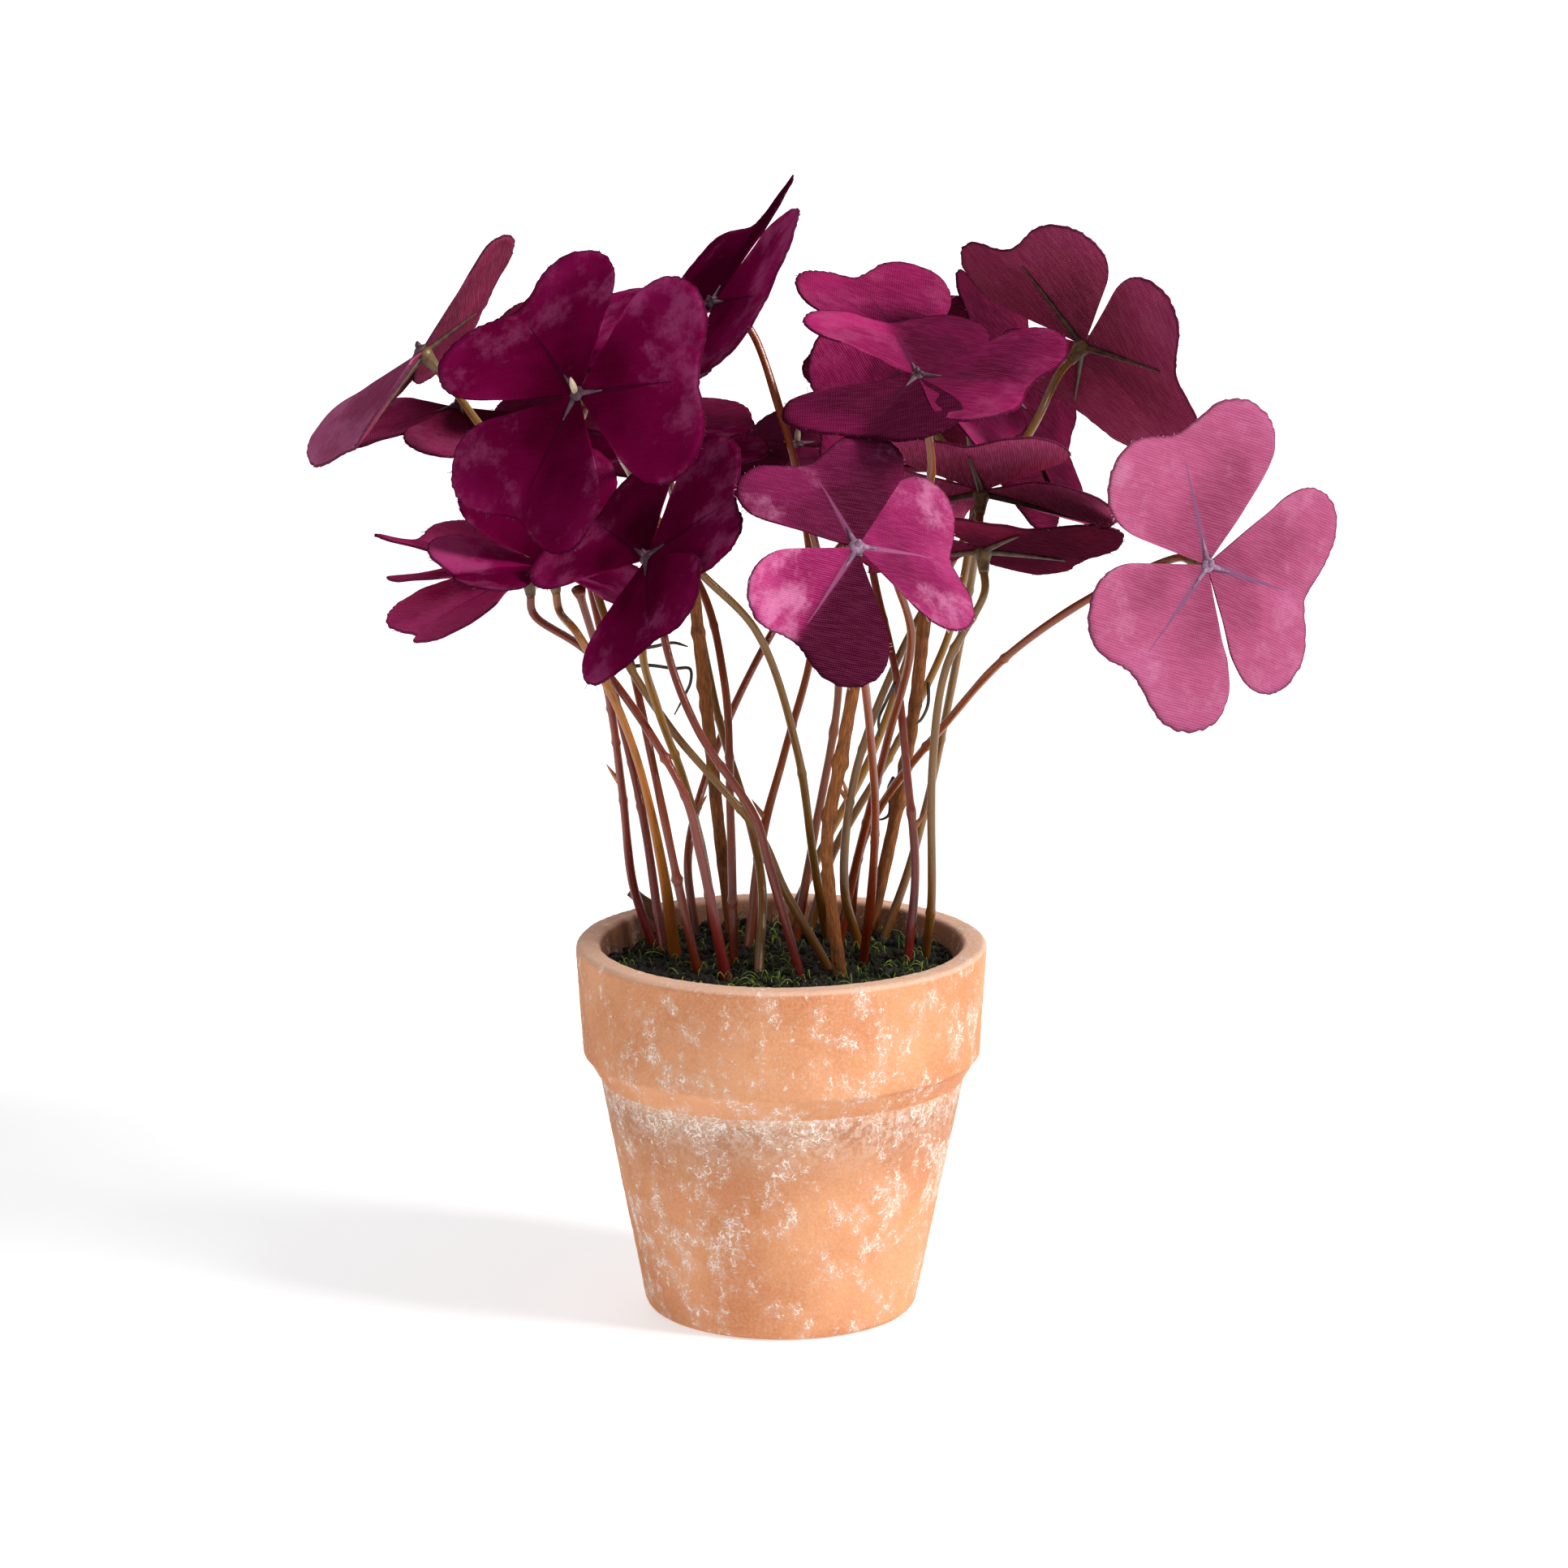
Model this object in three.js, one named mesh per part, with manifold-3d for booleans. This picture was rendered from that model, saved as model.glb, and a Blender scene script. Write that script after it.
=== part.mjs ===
// An artificial potted oxalis: three-part purple fabric leaves on moulded stems, standing in the
// soil of a small terracotta pot. Millimetres, +Z up, with the origin at the middle of the pot's
// underside. Angles are in degrees. The plant is looked at from the -Y side, with +X to the right.
import * as THREE from "three";
import { mergeVertices } from "three/addons/utils/BufferGeometryUtils.js";
import Module from "manifold-3d";

const wasm = await Module();
wasm.setup();

// Clearance between two pieces that touch on the real object.
const GAP = 0.3;

// The pot, turned round the Z axis.
const POT_HEIGHT = 59.2;
const RIM_RADIUS = 32.4;
const COLLAR_FOOT_RADIUS = 31.4;
const COLLAR_FOOT_HEIGHT = 42.0;
const NECK_RADIUS = 28.8;
const NECK_HEIGHT = 37.8;
const BASE_RADIUS = 21.6;
const BASE_ROUNDING = 1.8;
const EDGE_ROUNDING = 0.9;
const RIM_WALL = 3.9;
const FLOOR_THICKNESS = 4.5;
const FLOOR_INNER_RADIUS = 17.9;
const POT_SIDES = 36;

// The foam block that holds the stems, and the soil that covers it.
const SOIL_HEIGHT = 55.0;
const SOIL_THICKNESS = 10.0;
const SOIL_CROWN = 0.3;
const SOIL_EDGE_DROP = 1.2;
const SOIL_EDGE_WIDTH = 2.5;
const SOIL_RELIEF = 0.6;
const SOIL_SIDES = 24;
const FOAM_SIDES = 24;

// A stem goes this deep into the soil. Its hole is drilled from a little above the soil.
const STEM_DEPTH = 8.0;
const FOOT_RISE = 2.0;
const FOOT_STEEPNESS = 0.95;

// A leaf of size 1: three heart-shaped leaflets round a hub, with a socket under it for the stem.
const LEAFLET_LENGTH = 25.2;
const LEAFLET_HALF_ANGLE = 53;
const SHOULDER_DROP = 0.45;
const NOTCH_DEPTH = 0.2;
const NOTCH_WIDTH = 0.35;
const BLADE_THICKNESS = 0.7;
const RIB_RELIEF = 0.5;
const LEAFLET_COLUMNS = 8;
const LEAFLET_RINGS = 2;
const LEAFLET_START = 0.8;
const SOCKET_LENGTH = 4.0;
const SOCKET_RADIUS = 1.35;
const SOCKET_END_RADIUS = 0.95;
const HUB_TIP_HEIGHT = 2.2;
const HUB_TIP_RADIUS = 0.5;

// Stems, woody twigs, wire tendrils and thorns. A stem runs straight for its neck's length
// before it meets the socket.
const STEM_RADIUS = 0.75;
const STEM_NECK = 3.0;
const STEM_SIDES = 6;
const STEM_STEP = 9;
const TWIG_RADIUS = 1.0;
const TENDRIL_RADIUS = 0.35;
const TENDRIL_SIDES = 4;
const TENDRIL_STEP = 2.5;
const THORN_LENGTH = 3.6;
const THORN_RADIUS = 0.52;
const THORN_RISE = 50;
const THORN_SIDES = 4;

const COLOUR = {
  terracotta: 0xd49a6a,
  soil: 0x1a1712,
  foam: 0x3d4a2c,
  leaf: 0x6a1a45,
  leafPink: 0xb04a7c,
  stemRed: 0x7c4a3c,
  stemOlive: 0x857049,
  twig: 0x9c6a3a,
  tendril: 0x2c2118,
};

// Every leaf and its stem, as they stand. hub: where the three leaflets meet. face: the azimuth
// and elevation that the upper side looks at, with azimuth -90 towards the viewer. turn: the
// direction of the first rib, counterclockwise from the horizontal as seen on the face. Each
// leaflet: swing (round the hub, from its even place), lift (towards the face), roll (round its
// rib), fold (both halves raised) and curl (the far end bent back). stem: the foot in the soil,
// then points up to the socket.
const LEAVES = {
  front_left: {
    hub: [-30, -39, 152], face: [-130, 25], turn: 15, size: 1.02, tint: "leaf", stemTint: "stemOlive",
    leaflets: [[0, -5, 5, 8, 1], [10, 0, 15, 8, 1], [0, 0, 0, 8, 1]],
    stem: [
      [7, 16.5], [5, 12, 70], [2.5, 7, 88], [-4, -1, 109],
      [-13, -3, 119], [-20, -3, 128], [-23, -9, 135], [-25, -21, 141.5],
    ],
  },
  far_right: {
    hub: [64, -26, 124], face: [-55, 0], turn: 345, size: 1.05, tint: "leafPink", stemTint: "stemRed",
    leaflets: [[-5, 0, 0, 8, 1], [0, 0, 0, 8, 1], [0, 5, 0, 8, 1]],
    stem: [
      [11, 20.5], [12.5, 19, 69], [16, 14, 78],
      [26, 2, 94], [35, -10, 107], [48, -18, 118],
    ],
  },
  front_middle: {
    hub: [11, -52, 131.5], face: [-70, 30], turn: 350, size: 0.85, tint: "leafPink", stemTint: "stemRed",
    leaflets: [[5, -15, -10, 8, 1], [-10, -20, -5, 8, 1], [0, -10, -20, 15, 1]],
    stem: [[13, 0], [14, -5, 68], [14.5, -11, 81], [14, -18, 91], [12, -33, 111]],
  },
  top_right: {
    hub: [47, 10, 152], face: [45, 35], turn: 70, size: 1, tint: "leaf", stemTint: "stemOlive",
    leaflets: [[5, 0, 5, 8, 1], [-5, -5, -10, 8, 1], [-5, 5, 0, 8, 1]],
    stem: [
      [12, 10], [10, 9, 65], [11.5, 10, 83], [19, 9, 104],
      [28, 10.5, 120], [32.2, 5.8, 130.7], [35.2, 0, 135.3], [39, 1, 141],
    ],
  },
  top_middle: {
    hub: [-10.5, 12, 158], face: [-165, 35], turn: 15, size: 1, tint: "leaf", stemTint: "stemRed",
    leaflets: [[0, 0, 0, 8, 1], [0, -5, 0, 10, 1], [0, 35, 0, 8, 1]],
    stem: [[2.5, 15.5], [5, 17, 71], [9, 16, 96], [8, 13, 108], [4.5, 9, 124], [0, 9, 141]],
  },
  far_left: {
    hub: [-55.5, 3, 152], face: [180, 50], turn: 0, size: 1, tint: "leaf", stemTint: "stemOlive",
    leaflets: [[-55, -10, 0, 15, 1], [30, -5, -20, 8, 1], [-25, -10, 0, 8, 1]],
    stem: [
      [6.5, -2.5], [0.5, -3, 68], [-3.5, -3, 77], [-17.5, -2, 94],
      [-26, -2, 108], [-31, 5.5, 120], [-37.5, 0.5, 132], [-45, -3.5, 140],
    ],
  },
  left_inner: {
    hub: [-51, 20, 140.5], face: [-90, 85], turn: 145, size: 0.8, tint: "leaf", stemTint: "stemRed",
    leaflets: [[40, -15, 0, 8, 1], [25, -10, 0, 8, 1], [0, -45, 0, 8, 1]],
    stem: [
      [-13.5, -4], [-15.5, -3.5, 66], [-19.5, -1, 85],
      [-24, 10, 103], [-29, 25, 115], [-43, 21, 130],
    ],
  },
  right_upper: {
    hub: [20.5, -23, 152], face: [-120, 70], turn: 15, size: 0.95, tint: "leaf", stemTint: "stemRed",
    leaflets: [[-15, 5, 0, 8, 2], [-5, 5, 20, 8, 2], [15, 5, 0, 8, 2]],
    stem: [
      [9.5, 13], [11.5, 13, 67], [16.5, 4, 90],
      [20, -7, 109], [17, -16, 124.5], [22.5, -17, 135],
    ],
  },
  right_inner: {
    hub: [21, 14.5, 148.5], face: [-40, 30], turn: 310, size: 0.95, tint: "leaf", stemTint: "stemRed",
    leaflets: [[-10, 10, -20, 8, 1], [10, -20, -10, 8, 1], [0, -20, -35, 8, 1]],
    stem: [[20, 1], [21, 2, 70], [19.7, 3, 85], [18, 6, 100], [14, 17, 118], [14.5, 21, 130]],
  },
  right_back: {
    hub: [37, 43, 138.5], face: [-20, 20], turn: 330, size: 0.95, tint: "leaf", stemTint: "stemOlive",
    leaflets: [[-10, 5, 0, 8, 1], [-10, 0, 0, 8, 1], [15, 0, 0, 8, 1]],
    stem: [[5, 21.5], [8, 23.5, 67], [19.5, 26, 87], [27.5, 31, 104], [31, 35, 124]],
  },
  right_low: {
    hub: [31, 2, 130.5], face: [80, 60], turn: 70, size: 1, tint: "leaf", stemTint: "stemOlive",
    leaflets: [[20, 0, 0, 8, 1], [0, -10, 10, 8, 1], [30, -5, 0, 8, 1]],
    stem: [[17, 17], [20, 19, 65], [23.5, 20, 78], [27, 13, 98], [29.5, 6, 115]],
  },
  right_low_back: {
    hub: [31, -4, 122.5], face: [95, 65], turn: 165, size: 0.9, tint: "leaf", stemTint: "stemOlive",
    leaflets: [[40, 0, 0, 8, 1], [55, 0, 0, 8, 1], [60, -5, 0, 8, 1]],
    stem: [[22.8, 3], [23.5, 0, 65], [23.5, -2.5, 88], [25.5, -5, 104]],
  },
  middle_back: {
    hub: [2.5, 34, 132], face: [-90, 85], turn: 30, size: 0.85, tint: "leaf", stemTint: "stemRed",
    leaflets: [[0, 0, 0, 8, 1], [-25, -5, -10, 8, 1], [-10, 0, 0, 8, 1]],
    stem: [[-5, 9], [-3, 13, 73], [0.5, 20, 85], [5, 26, 102], [4, 31, 119]],
  },
  left_low_front: {
    hub: [-20, -34, 126.5], face: [-155, 40], turn: 65, size: 0.9, tint: "leaf", stemTint: "stemRed",
    leaflets: [[-15, 0, 5, 8, 1], [-10, 10, 10, 8, 1], [15, -5, 5, 8, 1]],
    stem: [[-11, 18.5], [-12, 14, 67], [-15, 1, 84], [-19, -9, 98], [-21, -20, 111]],
  },
  left_low: {
    hub: [-39.5, 3, 117.5], face: [-135, 80], turn: 90, size: 1, tint: "leaf", stemTint: "stemRed",
    leaflets: [[80, -5, 0, 8, 1], [-15, 15, 15, 8, 1], [-85, -15, 5, 8, 1]],
    stem: [[-9, -8], [-12.5, -9, 75], [-15.5, -10, 86], [-29.5, -1, 105]],
  },
  left_shelf: {
    hub: [-35, -13, 121], face: [-120, 75], turn: 250, size: 0.8, tint: "leaf", stemTint: "twig",
    leaflets: [[-20, 15, 0, 8, 1], [30, -30, 0, 8, 1], [0, 70, 0, 8, 1]],
    stem: [[-17, 5.5], [-18.5, 3, 69], [-22, -5, 88], [-26, -12, 101], [-31, -19, 112]],
  },
  left_top_back: {
    hub: [-31, 22, 147], face: [-90, 80], turn: 80, size: 0.85, tint: "leaf", stemTint: "stemRed",
    leaflets: [[0, 0, 0, 8, 1], [0, 0, 0, 8, 1], [5, 0, 0, 8, 1]],
    stem: [[-7.5, 0], [-8, 2.5, 79], [-9, 9, 99], [-14, 20, 114], [-33, 36, 130]],
  },
  left_middle: {
    hub: [-20, 12, 135], face: [-90, 84], turn: 70, size: 0.75, tint: "leaf", stemTint: "stemRed",
    leaflets: [[0, 0, 0, 8, 1], [0, 0, 0, 8, 1], [15, 0, 0, 8, 1]],
    stem: [
      [2.5, -7], [-2, -6, 73], [-4, -5.5, 80],
      [-13, -4.5, 94], [-18, -1, 107], [-19, 3, 119],
    ],
  },
  back_middle: {
    hub: [14, 66, 123], face: [90, 84], turn: 60, size: 0.7, tint: "leaf", stemTint: "stemRed",
    leaflets: [[0, 0, 0, 8, 1], [0, 0, 0, 8, 1], [0, 0, 0, 8, 1]],
    stem: [[-14, 20], [-15, 24, 67], [-11, 35, 81], [0, 50, 101]],
  },
  back_left: {
    hub: [-18, 58, 129], face: [-80, 78], turn: 20, size: 0.8, tint: "leaf", stemTint: "stemOlive",
    leaflets: [[0, 0, 0, 8, 1], [0, 0, 0, 8, 1], [0, 0, 0, 8, 1]],
    stem: [[-3.5, -6], [-3, 0, 67], [-5, 9, 76], [-10, 22, 90], [-16, 42, 116]],
  },
  back_right: {
    hub: [22.5, 60, 139], face: [80, 35], turn: 30, size: 0.8, tint: "leaf", stemTint: "stemOlive",
    leaflets: [[0, 0, 0, 8, 1], [0, 0, 0, 8, 1], [0, 0, 0, 8, 1]],
    stem: [[1.5, 23], [7, 29, 68], [15, 36, 82], [25, 44, 112], [27, 50, 128]],
  },
  back_far_left: {
    hub: [-34, 50, 142], face: [-100, 60], turn: 40, size: 0.8, tint: "leaf", stemTint: "stemRed",
    leaflets: [[0, 0, 0, 8, 1], [0, 0, 0, 8, 1], [0, 0, 0, 8, 1]],
    stem: [[-19, 8], [-22, 14, 76], [-28, 24, 100], [-34, 34, 128]],
  },
};

// A stem that has lost its leaf: the foot in the soil, then points up to the flared tip.
const BARE_STEMS = {
  stem_left_bare: [[-21, 12], [-23.5, 12, 65], [-25, 5, 82], [-27, -6, 101], [-31, -14, 118]],
};

// Bare woody twigs: the foot in the soil, then points up to the broken top.
const TWIGS = {
  twig_middle: [[-8, 17.5], [-9.5, 17, 69], [-11.5, 14, 90], [-14, 6, 117]],
  twig_front: [[9, -8], [7, -13, 78], [9, -15, 91], [12, -18, 109]],
  bark_twig: [[-18, 13.5], [-20.5, 15.5, 60], [-24, 17, 63]],
  twig_right: [[14.5, 19], [19, 16, 80], [21, 7, 96], [22.5, 3.5, 112]],
};

// Thin wire tendrils: a list of points each. Each lies against the stem or twig that it grows from.
const TENDRILS = {
  tendril_left: [
    [-22.9, 6, 101.9], [-20.6, 7, 101.8], [-16.9, 9, 100.9], [-14.4, 11, 100.4],
    [-14.3, 11.5, 98.3], [-15.5, 12, 95.5], [-16.9, 12, 92.8],
  ],
  tendril_left_top: [[-22, 5, 104.9], [-20, 6, 105], [-17, 8, 105.2], [-14.7, 10, 104.2]],
  tendril_middle: [[17.6, -1.5, 100.8], [16.2, 0, 97.3], [15.2, 2, 94.3], [15.3, 3, 91.3]],
  tendril_right: [[23, 6, 99.3], [22.9, 5.5, 95.7], [21.7, 4, 93.6], [20.8, 3, 93.2]],
  tendril_curl: [
    [17.7, 14.4, 82.1], [17, 17, 79.7], [17.3, 19, 76.4],
    [17, 20, 74.6], [15.8, 20.5, 73.9], [14.7, 20.5, 74.3],
  ],
};

// Short thorns on the stems: the height of each, and the side that it points to.
const THORNS = {
  stem_left_bare: [83, 180],
  stem_back_right: [74, 120],
  stem_top_right: [79, 180],
  stem_left_low_front: [78, -20],
  stem_middle_back: [75, 170],
  stem_right_inner: [76, 10],
};

const degrees = THREE.MathUtils.degToRad;

// A closed geometry as a solid that can be joined and cut.
function solidOf(geometry) {
  const flat = geometry.clone();
  flat.deleteAttribute("normal");
  flat.deleteAttribute("uv");
  const merged = mergeVertices(flat, 1e-4);
  return new wasm.Manifold(
    new wasm.Mesh({
      numProp: 3,
      vertProperties: new Float32Array(merged.attributes.position.array),
      triVerts: new Uint32Array(merged.index.array),
    }),
  );
}

// A joined or cut solid as a geometry again.
function geometryOf(solid) {
  const mesh = solid.getMesh();
  const geometry = new THREE.BufferGeometry();
  geometry.setAttribute("position", new THREE.BufferAttribute(mesh.vertProperties, 3));
  geometry.setIndex(new THREE.BufferAttribute(mesh.triVerts, 1));
  const shaded = geometry.toNonIndexed();
  shaded.computeVertexNormals();
  return shaded;
}

// A named piece with its own material.
function piece(name, geometry, colour, roughness) {
  const material = new THREE.MeshStandardMaterial({ color: colour, roughness, metalness: 0 });
  const mesh = new THREE.Mesh(geometry, material);
  mesh.name = name;
  return mesh;
}

// A profile of [radius, height] points turned round the Z axis.
function turned(profile, sides) {
  const points = profile.map(([radius, height]) => new THREE.Vector2(radius, height));
  return new THREE.LatheGeometry(points, sides).rotateX(Math.PI / 2);
}

// Points of a quarter-round edge between two directions, given as angles round its middle.
function rounded(radius, height, size, from, to, steps = 2) {
  return Array.from({ length: steps + 1 }, (_, i) => {
    const angle = degrees(from + ((to - from) * i) / steps);
    return [radius + size * Math.cos(angle), height + size * Math.sin(angle)];
  });
}

// The radius of the pot's inside at a height above its floor.
function innerRadius(height) {
  const rise = (height - FLOOR_THICKNESS) / (POT_HEIGHT - FLOOR_THICKNESS);
  return THREE.MathUtils.lerp(FLOOR_INNER_RADIUS, RIM_RADIUS - RIM_WALL, rise);
}

// The pot: a tapered body, a neck under the collar, and a rounded rim. Its base is closed.
function pot() {
  const rimInside = RIM_RADIUS - RIM_WALL + EDGE_ROUNDING;
  const profile = [
    [0, 0],
    ...rounded(BASE_RADIUS - BASE_ROUNDING, BASE_ROUNDING, BASE_ROUNDING, -90, 0),
    [NECK_RADIUS, NECK_HEIGHT],
    ...rounded(COLLAR_FOOT_RADIUS - EDGE_ROUNDING, COLLAR_FOOT_HEIGHT, EDGE_ROUNDING, -60, 0, 1),
    ...rounded(RIM_RADIUS - EDGE_ROUNDING, POT_HEIGHT - EDGE_ROUNDING, EDGE_ROUNDING, 0, 90),
    ...rounded(rimInside, POT_HEIGHT - EDGE_ROUNDING, EDGE_ROUNDING, 90, 180),
    [FLOOR_INNER_RADIUS, FLOOR_THICKNESS],
    [0, FLOOR_THICKNESS],
  ];
  return piece("pot", turned(profile, POT_SIDES), COLOUR.terracotta, 0.9);
}

// A straight pin round each stem's and twig's foot, a gap wider than the stem, that cuts its hole.
function drilled(solid, feet) {
  return feet.reduce((body, { point, below, radius }) => {
    const end = below.clone().sub(point).setLength(GAP).add(below);
    const pin = tube([end, point], radius + GAP / Math.cos(Math.PI / STEM_SIDES), 1);
    return body.subtract(solidOf(pin));
  }, solid);
}

// The block that fills the pot under the soil.
function foamFiller() {
  const top = SOIL_HEIGHT - SOIL_THICKNESS - GAP;
  const floor = FLOOR_THICKNESS + GAP;
  const side = [
    [0, floor],
    [innerRadius(floor) - 2 * GAP, floor],
    [innerRadius(top) - 2 * GAP, top],
    [0, top],
  ];
  return piece("foam_filler", turned(side, FOAM_SIDES), COLOUR.foam, 1);
}

// The soil is a low cushion with a lumpy top: two crossed waves over each ring.
function soil(feet) {
  const floor = SOIL_HEIGHT - SOIL_THICKNESS;
  const edge = innerRadius(floor) - 2 * GAP;
  const profile = [
    [0, floor],
    [edge, floor],
    [edge + 0.5, SOIL_HEIGHT - SOIL_EDGE_DROP],
    [edge - SOIL_EDGE_WIDTH, SOIL_HEIGHT],
    [edge * 0.6, SOIL_HEIGHT + SOIL_CROWN],
    [edge * 0.3, SOIL_HEIGHT + SOIL_CROWN],
    [0, SOIL_HEIGHT],
  ];
  const geometry = turned(profile, SOIL_SIDES);
  const place = geometry.attributes.position;
  for (let i = 0; i < place.count; i++) {
    if (place.getZ(i) < SOIL_HEIGHT - 0.5) continue;
    const lump = Math.sin(place.getX(i) * 0.55 + 1) * Math.cos(place.getY(i) * 0.5);
    place.setZ(i, place.getZ(i) + SOIL_RELIEF * lump);
  }
  return piece("soil", geometryOf(drilled(solidOf(geometry), feet)), COLOUR.soil, 1);
}

// A round bar with its ends cut square, along a smooth curve through the points.
function tube(points, radius, steps, sides = STEM_SIDES) {
  const corners = Array.from({ length: sides }, (_, i) => {
    const angle = (2 * Math.PI * i) / sides;
    return new THREE.Vector2(radius * Math.cos(angle), radius * Math.sin(angle));
  });
  return new THREE.ExtrudeGeometry(new THREE.Shape(corners), {
    steps,
    bevelEnabled: false,
    extrudePath: new THREE.CatmullRomCurve3(points, false, "centripetal"),
  });
}

// The foot of a stem: its point on the soil, and the end below it, in line with the stem.
function footOf(route, radius) {
  const point = new THREE.Vector3(route[0][0], route[0][1], SOIL_HEIGHT + FOOT_RISE);
  const next = new THREE.Vector3(...route[1]);
  const down = point.clone().sub(next).normalize();
  down.z = Math.min(down.z, -FOOT_STEEPNESS);
  down.normalize();
  const below = point.clone().addScaledVector(down, (STEM_DEPTH + FOOT_RISE) / -down.z);
  return { point, below, radius };
}

// A bar along a smooth curve, with a step about every so many millimetres.
function along(points, radius, step = STEM_STEP, sides = STEM_SIDES) {
  const curve = new THREE.CatmullRomCurve3(points, false, "centripetal");
  return tube(points, radius, Math.round(curve.getLength() / step), sides);
}

// The directions of one leaflet: along its rib, across it and up out of its face.
function leafletAxes(leaf, k) {
  const [swing, lift, roll] = leaf.leaflets[k];
  const [azimuth, elevation] = leaf.face.map(degrees);
  const up = new THREE.Vector3(
    Math.cos(elevation) * Math.cos(azimuth),
    Math.cos(elevation) * Math.sin(azimuth),
    Math.sin(elevation),
  );
  const level = new THREE.Vector3(-Math.sin(azimuth), Math.cos(azimuth), 0);
  const rib = level.clone().applyAxisAngle(up, degrees(leaf.turn + 120 * k + swing));
  const across = up.clone().cross(rib);
  rib.applyAxisAngle(across, -degrees(lift));
  up.applyAxisAngle(across, -degrees(lift));
  across.applyAxisAngle(rib, degrees(roll));
  up.applyAxisAngle(rib, degrees(roll));
  return { rib, across, up };
}

// How far the edge lies from the hub, for u from -1 to 1 across the leaflet: round shoulders,
// less a notch in the middle.
function edgeDistance(u) {
  const shoulders = 1 - SHOULDER_DROP * (1 - Math.sqrt(Math.max(0, 1 - u ** 4)));
  const notch = 1 - NOTCH_DEPTH * Math.exp(-((u / NOTCH_WIDTH) ** 2));
  return LEAFLET_LENGTH * shoulders * notch;
}

// One leaflet as a thin closed blade: columns fan out from the hub, and rings follow the edge.
// Both faces are split into triangles alike. The under face has a ridge along the rib.
function leaflet(leaf, k) {
  const { rib, across, up } = leafletAxes(leaf, k);
  const fold = Math.tan(degrees(leaf.leaflets[k][3]));
  const curl = leaf.leaflets[k][4];
  const hub = new THREE.Vector3(...leaf.hub);
  const corners = [];
  const corner = (column, ring, side) => {
    const u = Math.sin((Math.PI / 2) * ((2 * column) / LEAFLET_COLUMNS - 1));
    const s = ring / LEAFLET_RINGS;
    const distance = s * edgeDistance(u);
    const x = LEAFLET_START * (1 - s) + distance * Math.cos(degrees(LEAFLET_HALF_ANGLE) * u);
    const y = distance * Math.sin(degrees(LEAFLET_HALF_ANGLE) * u);
    const ridge = side < 0 && u === 0 && ring === 1 ? RIB_RELIEF : 0;
    const height = fold * Math.abs(y) - curl * (distance / LEAFLET_LENGTH) ** 2;
    const offset = side * (BLADE_THICKNESS / 2 + ridge);
    return hub
      .clone()
      .addScaledVector(rib, leaf.size * x)
      .addScaledVector(across, leaf.size * y)
      .addScaledVector(up, leaf.size * height + offset);
  };
  const triangle = (a, b, c) => corners.push(...a.toArray(), ...b.toArray(), ...c.toArray());
  const quad = (a, b, c, d) => {
    triangle(a, b, c);
    triangle(a, c, d);
  };
  for (const side of [1, -1]) {
    for (let column = 0; column < LEAFLET_COLUMNS; column++) {
      for (let ring = 0; ring < LEAFLET_RINGS; ring++) {
        const near = corner(column, ring, side);
        const far = corner(column, ring + 1, side);
        const farNext = corner(column + 1, ring + 1, side);
        const nearNext = corner(column + 1, ring, side);
        if (side > 0) triangle(near, far, farNext);
        else triangle(near, farNext, far);
        if (ring === 0) continue;
        if (side > 0) triangle(near, farNext, nearNext);
        else triangle(near, nearNext, farNext);
      }
    }
  }
  for (let column = 0; column < LEAFLET_COLUMNS; column++) {
    const last = LEAFLET_RINGS;
    const next = column + 1;
    quad(corner(column, last, 1), corner(column, last, -1), corner(next, last, -1), corner(next, last, 1));
  }
  for (let ring = 0; ring < LEAFLET_RINGS; ring++) {
    const end = LEAFLET_COLUMNS;
    const next = ring + 1;
    quad(corner(0, ring, 1), corner(0, ring, -1), corner(0, next, -1), corner(0, next, 1));
    quad(corner(end, ring, -1), corner(end, ring, 1), corner(end, next, 1), corner(end, next, -1));
  }
  const geometry = new THREE.BufferGeometry();
  geometry.setAttribute("position", new THREE.Float32BufferAttribute(corners, 3));
  return geometry;
}

// The way out of a leaf's socket: straight back from the face.
function socketDirection(leaf) {
  const [azimuth, elevation] = leaf.face.map(degrees);
  return new THREE.Vector3(
    -Math.cos(elevation) * Math.cos(azimuth),
    -Math.cos(elevation) * Math.sin(azimuth),
    -Math.sin(elevation),
  );
}

// The hub with the stem's pale tip above it and the socket below, turned on its axis.
function socket(leaf) {
  const profile = [
    [0, -HUB_TIP_HEIGHT],
    [HUB_TIP_RADIUS, -0.55 * HUB_TIP_HEIGHT],
    [SOCKET_RADIUS, -BLADE_THICKNESS],
    [SOCKET_RADIUS, BLADE_THICKNESS],
    [SOCKET_END_RADIUS, SOCKET_LENGTH],
    [0, SOCKET_LENGTH],
  ];
  const down = socketDirection(leaf);
  const turn = new THREE.Quaternion().setFromUnitVectors(new THREE.Vector3(0, 0, 1), down);
  return turned(profile, STEM_SIDES).applyQuaternion(turn).translate(...leaf.hub);
}

// A whole leaf: its three blades joined to the hub.
function leaf(name, plan) {
  const blades = [0, 1, 2].map((k) => solidOf(leaflet(plan, k)));
  const whole = blades.reduce((sum, blade) => sum.add(blade), solidOf(socket(plan)));
  return piece("leaf_" + name, geometryOf(whole), COLOUR[plan.tint], 0.7);
}

// A leaf's stem: from its foot through its points, and straight into the socket.
function stemPoints(plan) {
  const foot = footOf(plan.stem, STEM_RADIUS);
  const down = socketDirection(plan);
  const hub = new THREE.Vector3(...plan.hub);
  const tip = hub.clone().addScaledVector(down, SOCKET_LENGTH + GAP);
  const neck = hub.clone().addScaledVector(down, SOCKET_LENGTH + STEM_NECK);
  const middle = plan.stem.slice(1).map((point) => new THREE.Vector3(...point));
  return [foot.below, foot.point, ...middle, neck, tip];
}

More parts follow.
